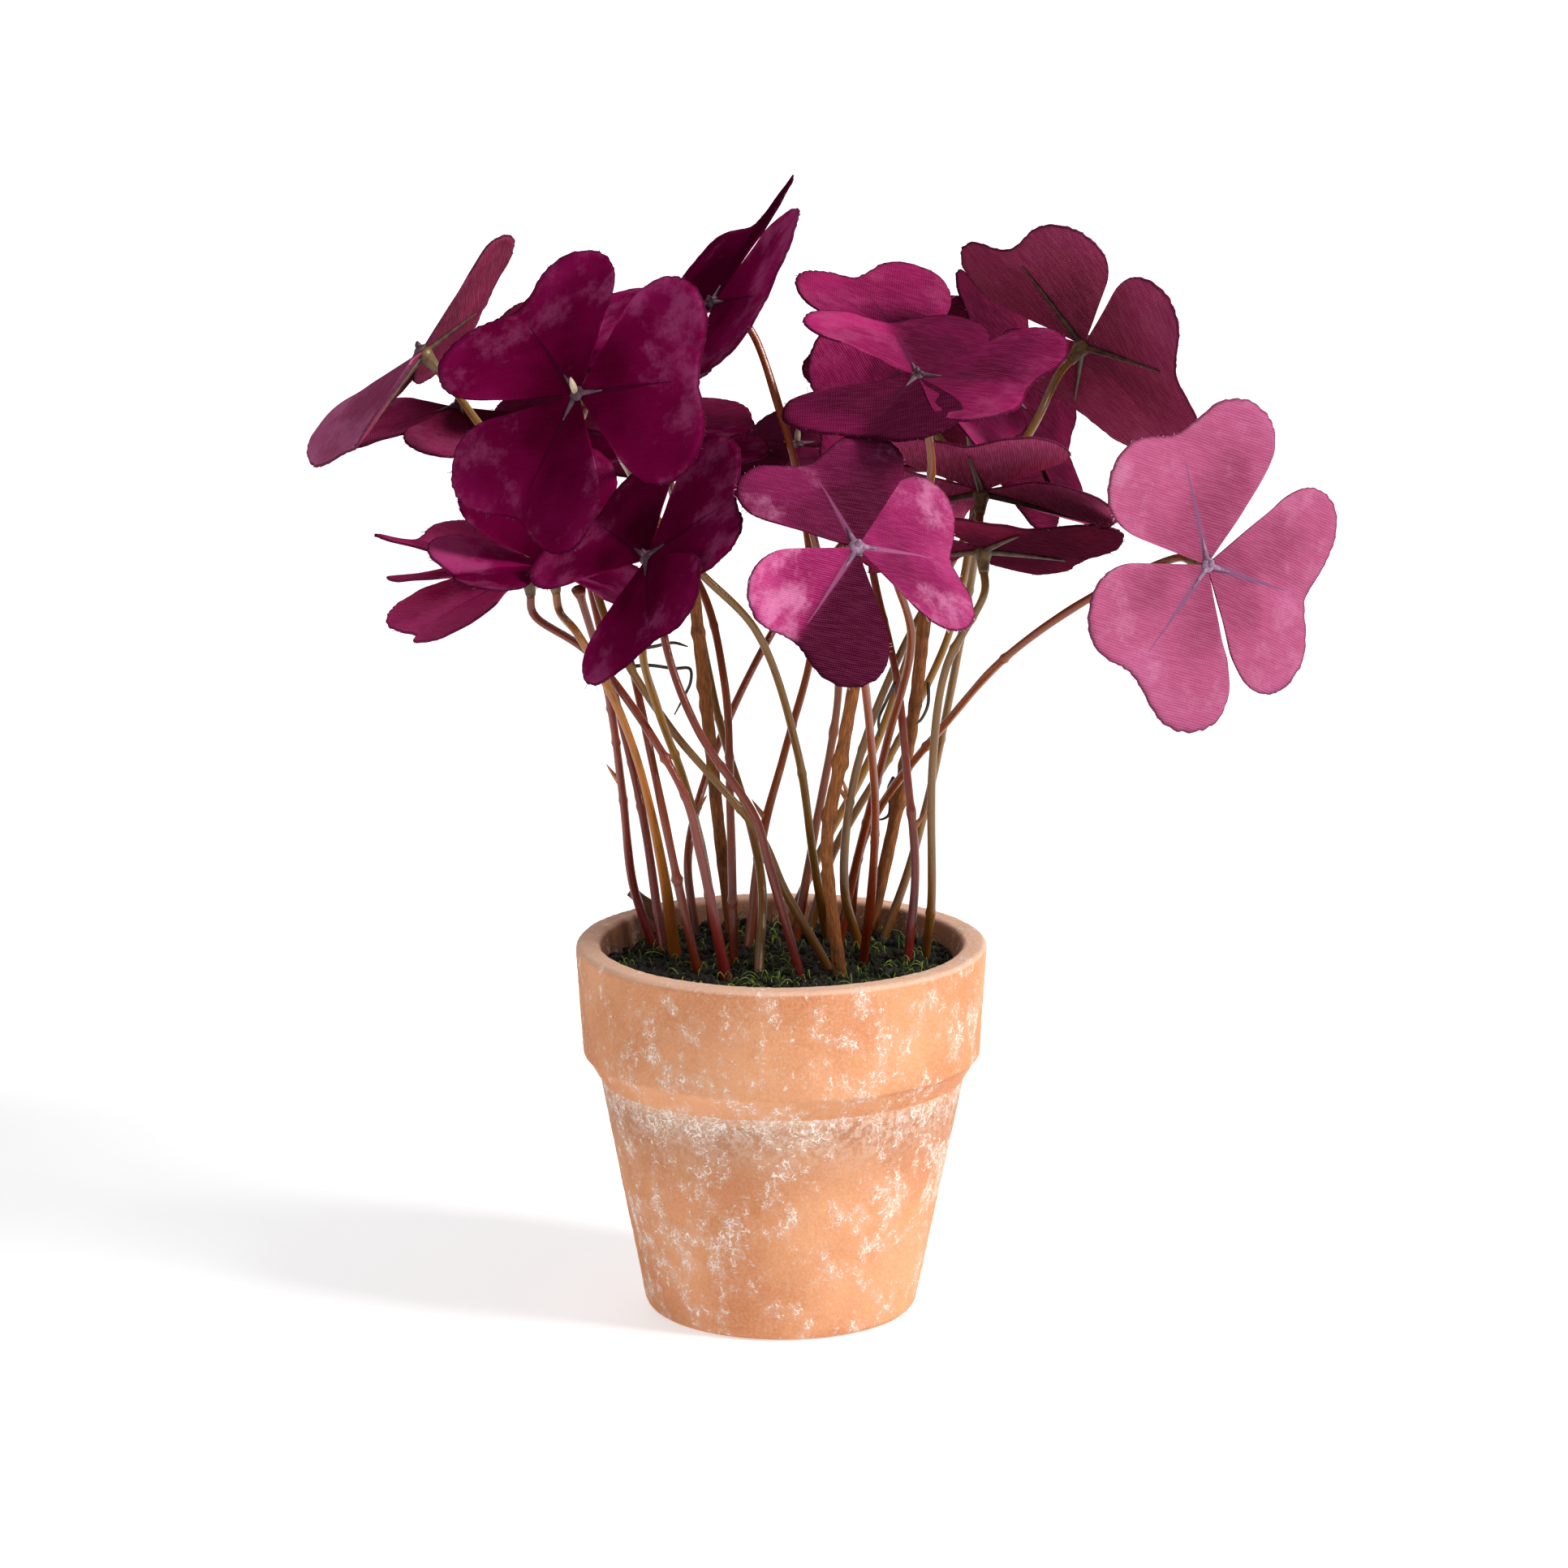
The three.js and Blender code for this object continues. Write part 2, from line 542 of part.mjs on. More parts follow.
// A stem with its thorn, if it has one: a four-sided spike that slants up from the stem's middle.
function stemWithThorn(name, points, colour) {
  const bar = along(points, STEM_RADIUS);
  if (!(name in THORNS)) return piece(name, bar, colour, 0.35);
  const [height, azimuth] = THORNS[name];
  const path = new THREE.CatmullRomCurve3(points, false, "centripetal").getSpacedPoints(200);
  const root = path.find((point) => point.z >= height);
  const level = Math.cos(degrees(THORN_RISE));
  const way = new THREE.Vector3(
    level * Math.cos(degrees(azimuth)),
    level * Math.sin(degrees(azimuth)),
    Math.sin(degrees(THORN_RISE)),
  );
  const turn = new THREE.Quaternion().setFromUnitVectors(new THREE.Vector3(0, 1, 0), way);
  const spike = new THREE.ConeGeometry(THORN_RADIUS, THORN_LENGTH, THORN_SIDES)
    .translate(0, THORN_LENGTH / 2, 0)
    .applyQuaternion(turn)
    .translate(...root);
  return piece(name, geometryOf(solidOf(bar).add(solidOf(spike))), colour, 0.35);
}

function stem(name, plan) {
  return stemWithThorn("stem_" + name, stemPoints(plan), COLOUR[plan.stemTint]);
}

// The curve points of a bare stem or a twig.
function routePoints(route, radius) {
  const foot = footOf(route, radius);
  const middle = route.slice(1).map((point) => new THREE.Vector3(...point));
  return [foot.below, foot.point, ...middle];
}

function bareStem(name, route) {
  return stemWithThorn(name, routePoints(route, STEM_RADIUS), COLOUR.stemRed);
}

function twig(name, route) {
  return piece(name, along(routePoints(route, TWIG_RADIUS), TWIG_RADIUS), COLOUR.twig, 0.8);
}

function tendril(name, route) {
  const points = route.map((point) => new THREE.Vector3(...point));
  return piece(name, along(points, TENDRIL_RADIUS, TENDRIL_STEP, TENDRIL_SIDES), COLOUR.tendril, 0.6);
}

const feet = [
  ...Object.values(LEAVES).map((plan) => footOf(plan.stem, STEM_RADIUS)),
  ...Object.values(BARE_STEMS).map((route) => footOf(route, STEM_RADIUS)),
  ...Object.values(TWIGS).map((route) => footOf(route, TWIG_RADIUS)),
];

const oxalis = new THREE.Group();
oxalis.add(pot(), foamFiller(), soil(feet));
for (const [name, plan] of Object.entries(LEAVES)) oxalis.add(stem(name, plan), leaf(name, plan));
for (const [name, route] of Object.entries(BARE_STEMS)) oxalis.add(bareStem(name, route));
for (const [name, route] of Object.entries(TWIGS)) oxalis.add(twig(name, route));
for (const [name, route] of Object.entries(TENDRILS)) oxalis.add(tendril(name, route));

export default oxalis;
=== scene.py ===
# %% [markdown]
# # A potted oxalis with cloth leaves
# The plant is artificial: each leaf is three heart-shaped leaflets punched from dyed cloth, welded to a
# moulded hub on a glossy stem. The stems, some dry twigs and a few wire tendrils stand in dark soil in a
# small clay pot with a worn lime wash. Everything is built round a fixed frame of plain solids, in metres.

# %% Load the frame
import math

import bpy
import numpy as np
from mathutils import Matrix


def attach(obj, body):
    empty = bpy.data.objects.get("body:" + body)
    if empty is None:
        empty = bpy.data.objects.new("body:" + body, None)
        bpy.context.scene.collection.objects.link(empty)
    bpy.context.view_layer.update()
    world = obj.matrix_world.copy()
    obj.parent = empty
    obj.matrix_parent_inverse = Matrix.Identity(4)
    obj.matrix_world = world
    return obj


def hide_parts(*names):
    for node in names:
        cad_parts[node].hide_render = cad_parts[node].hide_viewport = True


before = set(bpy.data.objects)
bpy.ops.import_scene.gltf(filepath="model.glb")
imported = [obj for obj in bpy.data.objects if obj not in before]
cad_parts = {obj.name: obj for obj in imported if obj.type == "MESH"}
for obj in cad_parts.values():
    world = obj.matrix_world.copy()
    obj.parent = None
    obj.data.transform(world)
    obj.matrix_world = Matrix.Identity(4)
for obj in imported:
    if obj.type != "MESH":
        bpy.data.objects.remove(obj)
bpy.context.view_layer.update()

MM = 0.001

# %% [markdown]
# ## Camera
# The plant was photographed from a little above the rim with a long lens, so the camera stands almost a
# metre away and looks down by 12.7 degrees. A long lens keeps the pot's sides nearly straight.

# %% Camera
CAMERA_DISTANCE = 0.927
CAMERA_HEIGHT = 0.29324
CAMERA_PITCH = math.radians(12.70)
SENSOR_WIDTH = 36.0
FOCAL_IN_PIXELS = 7500.0
IMAGE_WIDTH = 1932.0
FRAMING_SHIFT = 0.0016

camera_data = bpy.data.cameras.new("camera")
camera_data.sensor_width = SENSOR_WIDTH
camera_data.lens = SENSOR_WIDTH * FOCAL_IN_PIXELS / IMAGE_WIDTH
camera_data.shift_x = FRAMING_SHIFT
camera_data.clip_start = 0.05
camera = bpy.data.objects.new("camera", camera_data)
camera.location = (0, -CAMERA_DISTANCE, CAMERA_HEIGHT)
camera.rotation_euler = (math.pi / 2 - CAMERA_PITCH, 0, 0)
bpy.context.scene.collection.objects.link(camera)
bpy.context.scene.camera = camera
print("camera:", round(camera_data.lens, 1), "mm lens")

# %% [markdown]
# ## Building surfaces
# Every new piece is a set of closed surfaces. A surface is worked out as a whole array of points in
# millimetres, with faces as arrays of point numbers. Two forms cover almost all of it: bars carried along
# a path, for stems, twigs, wires and fibres, and profiles turned round an upright axis, for the pot. Curve
# objects and a Screw modifier could do the same, but arrays let noise move each point before it is a mesh.

# %% Parts and mesh objects
def part(points, faces, index=0, **maps):
    """One closed surface: points (n, 3), a list of face arrays, the number of its material, or one for
    each array, and its UV maps."""
    points = np.asarray(points, float).reshape(-1, 3)
    maps = {name: np.asarray(values, float).reshape(-1, 2) for name, values in maps.items()}
    index = [index] * len(faces) if isinstance(index, int) else index
    return dict(points=points, faces=faces, index=index, maps=maps)


def build(name, parts, materials, replaced=()):
    """A smooth mesh object from parts, riding on the plant's one body."""
    start = 0
    faces = []
    numbers = []
    for item in parts:
        for group, number in zip(item["faces"], item["index"]):
            faces += (group + start).tolist()
            numbers += [number] * len(group)
        start += len(item["points"])
    points = np.concatenate([item["points"] for item in parts]) * MM
    mesh = bpy.data.meshes.new(name)
    mesh.from_pydata(points.tolist(), [], faces)
    corner = np.empty(len(mesh.loops), np.int32)
    mesh.loops.foreach_get("vertex_index", corner)
    for key in sorted({key for item in parts for key in item["maps"]}):
        blank = [item["maps"].get(key, np.zeros((len(item["points"]), 2))) for item in parts]
        layer = mesh.uv_layers.new(name=key)
        layer.data.foreach_set("uv", np.concatenate(blank)[corner].astype(np.float32).ravel())
    mesh.polygons.foreach_set("material_index", np.array(numbers, np.int32))
    mesh.polygons.foreach_set("use_smooth", np.ones(len(mesh.polygons), bool))
    for material in materials:
        mesh.materials.append(material)
    mesh.update()
    obj = bpy.data.objects.new(name, mesh)
    bpy.context.scene.collection.objects.link(obj)
    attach(obj, "root")
    if replaced:
        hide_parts(*replaced)
    return obj


print("mesh helpers ready")

# %% Bars and turned profiles
def rings(count, sides):
    """Faces of a tube of `count` rings of `sides` points, and one face to close each end."""
    row, column = np.meshgrid(np.arange(count - 1), np.arange(sides), indexing="ij")
    after = (column + 1) % sides
    low, high = row * sides, (row + 1) * sides
    walls = np.stack([low + column, low + after, high + after, high + column], -1).reshape(-1, 4)
    first = np.arange(sides)[::-1][None]
    last = (np.arange(sides) + (count - 1) * sides)[None]
    return [walls, first, last]


def unit(vectors):
    """The same directions with length 1."""
    return vectors / np.linalg.norm(vectors, axis=-1, keepdims=True)


def bars(paths, radii, sides, index=0):
    """Closed round bars. paths is (bars, stations, 3) and radii is (bars, stations). A ring lies across its
    path: side is tangent x reference, other is tangent x side, and a point is
    path + radius * (cos(a) * side + sin(a) * other). The reference is the direction that the path's
    tangents have least of. The map `way` holds the length along the bar and the turn round it."""
    paths = np.asarray(paths, float)
    number, count, _ = paths.shape
    tangent = unit(np.gradient(paths, axis=1))
    reference = np.linalg.svd(tangent)[2][:, -1, :]
    side = unit(np.cross(tangent, reference[:, None, :]))
    other = np.cross(tangent, side)
    angle = 2 * np.pi * np.arange(sides) / sides
    across = np.cos(angle)[:, None] * side[:, :, None] + np.sin(angle)[:, None] * other[:, :, None]
    points = paths[:, :, None] + np.asarray(radii, float)[:, :, None, None] * across
    steps = np.linalg.norm(np.diff(paths, axis=1), axis=-1)
    length = np.concatenate([np.zeros((number, 1)), np.cumsum(steps, axis=1)], axis=1)
    way = np.stack(np.broadcast_arrays(length[:, :, None], angle[None, None]), -1)
    starts = np.arange(number)[:, None, None] * (count * sides)
    faces = [(group[None] + starts).reshape(-1, group.shape[-1]) for group in rings(count, sides)]
    return part(points, faces, index, way=way)


def turned(profile, sides):
    """A profile of (radius, height) turned round the Z axis. It runs from the underside's middle, up
    the outside, and ends at the middle again, and a small face closes each end."""
    radius, height = np.asarray(profile, float).T
    angle = 2 * np.pi * np.arange(sides) / sides
    x = radius[:, None] * np.cos(angle)
    y = radius[:, None] * np.sin(angle)
    points = np.stack([x, y, np.broadcast_to(height[:, None], x.shape)], -1)
    return part(points, rings(len(radius), sides))


print("bars and turned profiles ready")

# %% Smooth lumps and smooth routes
SHORTEST_WAVE, LONGEST_WAVE = 0.7, 1.5
RIPPLE_GAIN = 0.6
STEPS_A_SPAN = 24


def ripple(points, size, seed, waves=24):
    """Smooth lumps from about -1 to 1: a mean of sine waves in random directions, each about `size` long."""
    draw = np.random.default_rng(seed)
    direction = unit(draw.normal(size=(waves, 3)))
    pace = 2 * np.pi / (size * draw.uniform(SHORTEST_WAVE, LONGEST_WAVE, waves))
    phase = draw.uniform(0, 2 * np.pi, waves)
    points = np.asarray(points, float)
    return np.sin((points @ direction.T) * pace + phase).mean(-1) * math.sqrt(waves) * RIPPLE_GAIN


def smooth_route(points, spacing):
    """A smooth curve through the points, resampled about every `spacing` millimetres. It is the
    centripetal Catmull-Rom spline: between two points it is a cubic whose end slopes come from the
    neighbours, weighted by the square roots of the distances."""
    points = np.asarray(points, float)
    points = np.vstack([2 * points[0] - points[1], points, 2 * points[-1] - points[-2]])
    before, start, end, after = points[:-3], points[1:-2], points[2:-1], points[3:]
    gap = np.sqrt(np.linalg.norm(np.diff(points, axis=0), axis=1))[:, None]
    first, middle, last = gap[:-2], gap[1:-1], gap[2:]
    leave = (start - before) / first - (end - before) / (first + middle) + (end - start) / middle
    arrive = (end - start) / middle - (after - start) / (middle + last) + (after - end) / last
    leave, arrive = leave * middle, arrive * middle
    t = np.linspace(0, 1, STEPS_A_SPAN + 1)[:-1, None, None]
    bend = -3 * start + 3 * end - 2 * leave - arrive
    twist = 2 * start - 2 * end + leave + arrive
    curve = start + leave * t + bend * t**2 + twist * t**3
    curve = np.vstack([curve.transpose(1, 0, 2).reshape(-1, 3), end[-1]])
    length = np.concatenate([[0], np.cumsum(np.linalg.norm(np.diff(curve, axis=0), axis=1))])
    stations = np.linspace(0, length[-1], max(3, round(length[-1] / spacing)))
    return np.stack([np.interp(stations, length, curve[:, axis]) for axis in range(3)], -1)


print("lumps and routes ready")

# %% [markdown]
# ## Building finishes
# Each finish is a node tree on the Principled shader. A tree could be drawn by hand in the shader editor, or
# its colours painted on an image. Trees written as code can be read and changed by their numbers, and they
# have no picture size. One helper adds a node and its links. The others are the few sums that the trees use
# again and again.

# %% Colours, materials and nodes
def colour(text):
    """A screen colour such as 5b1233 as linear red, green, blue and alpha."""
    values = [int(text[i : i + 2], 16) / 255 for i in (0, 2, 4)]
    return tuple(v / 12.92 if v <= 0.04045 else ((v + 0.055) / 1.055) ** 2.4 for v in values) + (1.0,)


def finish(name, **sockets):
    """A new material, with values for the shader's own sockets. Spaces in their names are underlines here."""
    material = bpy.data.materials.new(name)
    material.use_nodes = True
    tree = material.node_tree
    shader = tree.nodes["Principled BSDF"]
    for key, value in sockets.items():
        shader.inputs[key.replace("_", " ")].default_value = value
    return material, tree, shader


def add(tree, kind, pins=None, **settings):
    """A new node. pins maps an input's name or number to a value, or to a socket to link."""
    node = tree.nodes.new("ShaderNode" + kind)
    for key, value in settings.items():
        setattr(node, key, value)
    for pin, value in (pins or {}).items():
        if isinstance(value, bpy.types.NodeSocket):
            tree.links.new(value, node.inputs[pin])
        else:
            node.inputs[pin].default_value = value
    return node


print("colour and node helpers ready")

# %% Sums, steps and noise
def calc(tree, operation, a, b=0.0):
    return add(tree, "Math", {0: a, 1: b}, operation=operation).outputs[0]


def times(tree, a, b):
    return calc(tree, "MULTIPLY", a, b)


def plus(tree, a, b):
    return calc(tree, "ADD", a, b)


def larger(tree, a, b):
    return calc(tree, "MAXIMUM", a, b)


def vectors(tree, operation, pins, output="Vector"):
    """One sum on vectors: ADD, SUBTRACT, MULTIPLY, SCALE, DISTANCE or LENGTH."""
    return add(tree, "VectorMath", pins, operation=operation).outputs[output]


def fade(tree, value, low, high, to_low=0.0, to_high=1.0):
    """A smooth step: to_low where value is at or under low, to_high where it is at or over high."""
    pins = {0: value, 1: low, 2: high, 3: to_low, 4: to_high}
    return add(tree, "MapRange", pins, interpolation_type="SMOOTHSTEP").outputs[0]


def mix(tree, factor, a, b):
    """Colour a where factor is 0, and colour b where it is 1."""
    return add(tree, "Mix", {0: factor, 6: a, 7: b}, data_type="RGBA").outputs[2]


def noise(tree, vector, scale, detail=3.0, roughness=0.55):
    """Blender's noise, from 0 to 1. scale is how many lumps fit in a metre on Object coordinates."""
    pins = {"Vector": vector, "Scale": scale, "Detail": detail, "Roughness": roughness}
    return add(tree, "TexNoise", pins).outputs[0]


def relief(tree, shader, height, depth, strength=1.0, normal=None):
    """Bumps of `depth` metres. A second one is laid over the first through `normal`."""
    pins = {"Height": height, "Distance": depth, "Strength": strength}
    if normal is not None:
        pins["Normal"] = normal
    bump = add(tree, "Bump", pins).outputs[0]
    tree.links.new(bump, shader.inputs["Normal"])
    return bump


def where(tree):
    """Object coordinates, in metres in the plant's frame."""
    return add(tree, "TexCoord").outputs["Object"]


def split(tree, vector):
    """The three numbers of a vector, each as a socket."""
    return add(tree, "SeparateXYZ", {0: vector}).outputs


def uv(tree, name):
    """A piece's own map as a vector."""
    return add(tree, "UVMap", uv_map=name).outputs[0]


def paint(tree, shader, colours):
    tree.links.new(colours, shader.inputs["Base Color"])


print("sums and noise ready")

# %% [markdown]
# ## The clay pot
# The pot is thrown clay: a tapered body, a thick collar and a rounded rim, all round one axis, so a turned
# profile gives it. Clay made by hand is never quite true. A bump could show its dents, but not along the
# outline, so slow dents and a fine grain are in the mesh itself. The base stays flat.

# %% The pot's profile
POT_HEIGHT = 59.2
RIM_RADIUS = 32.4
COLLAR_FOOT = (31.4, 42.0)
NECK = (28.8, 37.8)
BASE_RADIUS = 21.6
BASE_ROUNDING = 1.8
EDGE_ROUNDING = 0.9
RIM_WALL = 3.9
FLOOR_HEIGHT = 4.5
FLOOR_RADIUS = 17.9
POT_SIDES = 288
MIDDLE_RADIUS = 0.4


def inner_radius(height):
    """The pot's inside radius, a straight slope from the floor to the rim."""
    rise = (height - FLOOR_HEIGHT) / (POT_HEIGHT - FLOOR_HEIGHT)
    return FLOOR_RADIUS + (RIM_RADIUS - RIM_WALL - FLOOR_RADIUS) * rise


def arc(radius, height, size, start, stop, steps=7):
    """Points on a rounded edge: middle + size * (cos, sin) of the angle from start to stop."""
    angle = np.radians(np.linspace(start, stop, steps))
    return np.stack([radius + size * np.cos(angle), height + size * np.sin(angle)], -1)


def line(a, b, steps):
    """Points on a straight stretch, without its two ends."""
    return np.linspace(a, b, steps + 2)[1:-1]


base = arc(BASE_RADIUS - BASE_ROUNDING, BASE_ROUNDING, BASE_ROUNDING, -90, 0)
collar_edge = arc(COLLAR_FOOT[0] - EDGE_ROUNDING, COLLAR_FOOT[1], EDGE_ROUNDING, -70, 0, 5)
rim_out = arc(RIM_RADIUS - EDGE_ROUNDING, POT_HEIGHT - EDGE_ROUNDING, EDGE_ROUNDING, 0, 90)
rim_in = arc(RIM_RADIUS - RIM_WALL + EDGE_ROUNDING, POT_HEIGHT - EDGE_ROUNDING, EDGE_ROUNDING, 90, 180)
pot_profile = np.vstack([
    [(MIDDLE_RADIUS, 0)], line((MIDDLE_RADIUS, 0), base[0], 8), base,
    line(base[-1], NECK, 60), [NECK], line(NECK, collar_edge[0], 6), collar_edge,
    line(collar_edge[-1], rim_out[0], 34), rim_out, line(rim_out[-1], rim_in[0], 5), rim_in,
    line(rim_in[-1], (FLOOR_RADIUS, FLOOR_HEIGHT), 30), [(FLOOR_RADIUS, FLOOR_HEIGHT)],
    line((FLOOR_RADIUS, FLOOR_HEIGHT), (MIDDLE_RADIUS, FLOOR_HEIGHT), 6), [(MIDDLE_RADIUS, FLOOR_HEIGHT)],
])
print("pot profile:", len(pot_profile), "points")

# %% The pot's surface
DENT, DENT_SIZE = 0.16, 22
GRAIN, GRAIN_SIZE, RIM_GRAIN_SIZE = 0.06, 1.4, 1.1

pot_part = turned(pot_profile, POT_SIDES)
spots = pot_part["points"]
out = spots * (1, 1, 0) / np.maximum(np.hypot(spots[:, 0], spots[:, 1]), 1)[:, None]
above_base = np.clip(spots[:, 2] / BASE_ROUNDING, 0, 1)
dents = DENT * ripple(spots, DENT_SIZE, 1) + GRAIN * ripple(spots, GRAIN_SIZE, 2, 40)
pot_part["points"] = spots + out * (dents * above_base - DENT)[:, None]
on_rim = spots[:, 2] > POT_HEIGHT - EDGE_ROUNDING
pot_part["points"][:, 2] += on_rim * (GRAIN * ripple(spots, RIM_GRAIN_SIZE, 3, 40) - GRAIN)
print("pot surface:", len(spots), "points")

# %% [markdown]
# ## Worn lime wash on clay
# The wash was brushed on and rubbed off. It stays as fine torn threads, as specks, as a pale haze, and most
# of all in the corner under the collar. An image could show it, but would stretch on the taper. Here the
# edges between Voronoi cells, bent by noise, are the threads, and a slow noise says how much wash is left.
# That amount rises near a few named spots where the real pot kept more.

# %% The bare clay
def clay_body(tree, spot):
    """Pale and dark firing in slow clouds, rusty patches, and grains of sand."""
    warm = fade(tree, noise(tree, spot, 45, 4), 0.35, 0.68)
    body = mix(tree, warm, colour("c67f54"), colour("db9b70"))
    rust = fade(tree, noise(tree, spot, 160, 6, 0.65), 0.5, 0.72)
    body = mix(tree, times(tree, rust, 0.35), body, colour("b87040"))
    sand = fade(tree, noise(tree, spot, 2200, 3, 0.7), 0.35, 0.7, 0.0, 0.35)
    return mix(tree, sand, body, colour("e4b494"))


print("bare clay ready")

# %% How much wash is left
WASH_SPOTS = {
    "collar_right": ((10, -31, 53), 9, 0.09),
    "collar_left": ((-19, -25, 52), 8, 0.05),
    "collar_left_smear": ((-21, -24, 47), 4, 0.10),
    "collar_right_edge": ((27, -16, 47), 8, 0.07),
    "collar_front_low": ((-9, -30, 44), 5, 0.04),
    "body_left": ((-13, -22, 18), 14, 0.10),
    "body_left_edge": ((-24, -10, 18), 12, 0.10),
    "body_middle": ((3, -27, 28), 9, 0.06),
    "body_right": ((17, -19, 22), 10, 0.07),
    "body_right_edge": ((25, -6, 24), 14, 0.08),
    "back": ((4, 26, 30), 14, 0.10),
    "back_left": ((-24, 14, 48), 12, 0.10),
}
WASH_BAND, WASH_BAND_GAIN = 5.5, 0.11
VEIL_BAND, VEIL_STRENGTH = 11.0, 0.4
CORNER_SOFTNESS = 0.3


def wash_left(tree, spot, height):
    """The amount of wash, from slow noise, named spots of (place, reach, gain) in millimetres, and a band
    under the collar. Also gives a smooth veil that fades down from the collar."""
    tall = vectors(tree, "MULTIPLY", {0: spot, 1: (1.0, 1.0, 0.7)})
    amount = fade(tree, noise(tree, tall, 220, 7, 0.68), 0.3, 0.7, 0.33, 0.6)
    for place, reach, gain in WASH_SPOTS.values():
        apart = vectors(tree, "DISTANCE", {0: spot, 1: [v * MM for v in place]}, "Value")
        amount = plus(tree, amount, fade(tree, apart, 0.0, reach * MM, gain, 0.0))
    under_collar = calc(tree, "SUBTRACT", NECK[1] * MM, height)
    below = fade(tree, under_collar, -0.2 * MM, 0.1 * MM)
    band = fade(tree, under_collar, 0.0, WASH_BAND * MM, WASH_BAND_GAIN, 0.0)
    amount = plus(tree, amount, times(tree, band, below))
    corner = (NECK[1] + CORNER_SOFTNESS) * MM
    amount = plus(tree, amount, fade(tree, height, NECK[1] * MM, corner, 0.0, -0.01))
    veil = times(tree, fade(tree, under_collar, 0.0, VEIL_BAND * MM, VEIL_STRENGTH, 0.0), below)
    veil = times(tree, veil, fade(tree, noise(tree, spot, 900, 4, 0.7), 0.4, 0.62))
    return amount, veil


print("wash spots:", len(WASH_SPOTS))

# %% The wash itself
THREAD_NETS = ((500.0, 0.06), (920.0, 0.08))
THREAD_STRAY = 3.5


def wash_cover(tree, spot, amount, veil):
    """How white each place is: the largest of threads, solid flecks, haze and specks."""
    stray = add(tree, "TexNoise", {"Vector": spot, "Scale": 420.0, "Detail": 3.0}).outputs["Color"]
    stray = vectors(tree, "SUBTRACT", {0: stray, 1: (0.5, 0.5, 0.5)})
    bent = vectors(tree, "ADD", {0: spot, 1: vectors(tree, "SCALE", {0: stray, "Scale": THREAD_STRAY * MM})})
    threads = 0.0
    for scale, width in THREAD_NETS:
        pins = {"Vector": bent, "Scale": scale}
        gap = add(tree, "TexVoronoi", pins, feature="DISTANCE_TO_EDGE").outputs["Distance"]
        threads = larger(tree, fade(tree, gap, 0.2 * width, width, 1.0, 0.0), threads)
    worn = plus(tree, amount, times(tree, noise(tree, spot, 1000, 4, 0.7), 0.55))
    threads = times(tree, threads, fade(tree, worn, 0.77, 0.86))
    solid = fade(tree, worn, 0.94, 0.99, 0.0, 0.85)
    haze = larger(tree, fade(tree, amount, 0.44, 0.7, 0.0, 0.24), veil)
    specks = fade(tree, noise(tree, spot, 1500, 3, 0.7), 0.6, 0.68, 0.0, 0.5)
    specks = times(tree, specks, fade(tree, amount, 0.42, 0.58, 0.25, 1.0))
    return larger(tree, larger(tree, threads, haze), larger(tree, solid, specks))


print("wash ready")

# %% The whole clay finish
def clay():
    """Clay under its wash. The top of the rim is paler, and the inner wall has painted shade, darker towards
    the soil.
    """
    material, tree, shader = finish("washed clay", Roughness=0.92, Specular_IOR_Level=0.2)
    spot = where(tree)
    x, y, height = split(tree, spot)
    wash = wash_cover(tree, spot, *wash_left(tree, spot, height))
    on_top = fade(tree, height, (POT_HEIGHT - EDGE_ROUNDING) * MM, (POT_HEIGHT - 0.4) * MM)
    body = mix(tree, times(tree, on_top, 0.55), clay_body(tree, spot), colour("e2c6b2"))
    radius = vectors(tree, "LENGTH", {0: add(tree, "CombineXYZ", {0: x, 1: y}).outputs[0]}, "Value")
    # Painted shade: the inner wall above the soil is darkened towards 8f6a56.
    wall = RIM_RADIUS - RIM_WALL
    inside = fade(tree, radius, (wall - 0.4) * MM, (wall + 0.3) * MM, 0.75, 0.0)
    inside = times(tree, inside, fade(tree, height, 0.02, 0.045))
    body = mix(tree, inside, body, colour("8f6a56"))
    paint(tree, shader, mix(tree, wash, body, colour("f6e6da")))
    fine = relief(tree, shader, noise(tree, spot, 1500, 6, 0.7), 0.00025, 0.7)
    relief(tree, shader, wash, 0.00012, 0.7, fine)
    return material


pot = build("pot_clay", [pot_part], [clay()], ["pot"])
print("pot:", len(pot.data.polygons), "faces")

# %% [markdown]
# ## The soil
# The soil is glued crumbs with green moss threads. Particles could scatter them, but particles are lost when
# the plant is saved as plain meshes. So a turned cushion carries the lumps, a crumb is a dented ball of
# twenty faces, and a moss thread is a thin bent bar, all with a fixed seed: each run gives the same soil.

# %% The soil's cushion
SOIL_HEIGHT = 55.0
SOIL_FLOOR = 45.0
SOIL_SIDES = 160
SOIL_EDGE_DROP = 0.8

soil_edge = inner_radius(SOIL_HEIGHT) - 0.15
shoulder = (soil_edge, SOIL_HEIGHT - SOIL_EDGE_DROP)
middle = (MIDDLE_RADIUS, SOIL_HEIGHT)
soil_profile = np.vstack([
    [(MIDDLE_RADIUS, SOIL_FLOOR)], [(inner_radius(SOIL_FLOOR) - 0.6, SOIL_FLOOR)],
    [shoulder], line(shoulder, middle, 60), [middle],
])
soil_part = turned(soil_profile, SOIL_SIDES)
ground = soil_part["points"]
is_top = ground[:, 2] > SOIL_HEIGHT - SOIL_EDGE_DROP - 0.1


def soil_top(points):
    """Height of the soil: slow swells, small lumps and a rough grain."""
    flat = np.asarray(points) * (1, 1, 0)
    swell = 0.6 * ripple(flat, 16, 11) + 0.45 * ripple(flat, 3.5, 12, 40) + 0.2 * ripple(flat, 1.3, 13, 60)
    return SOIL_HEIGHT + swell


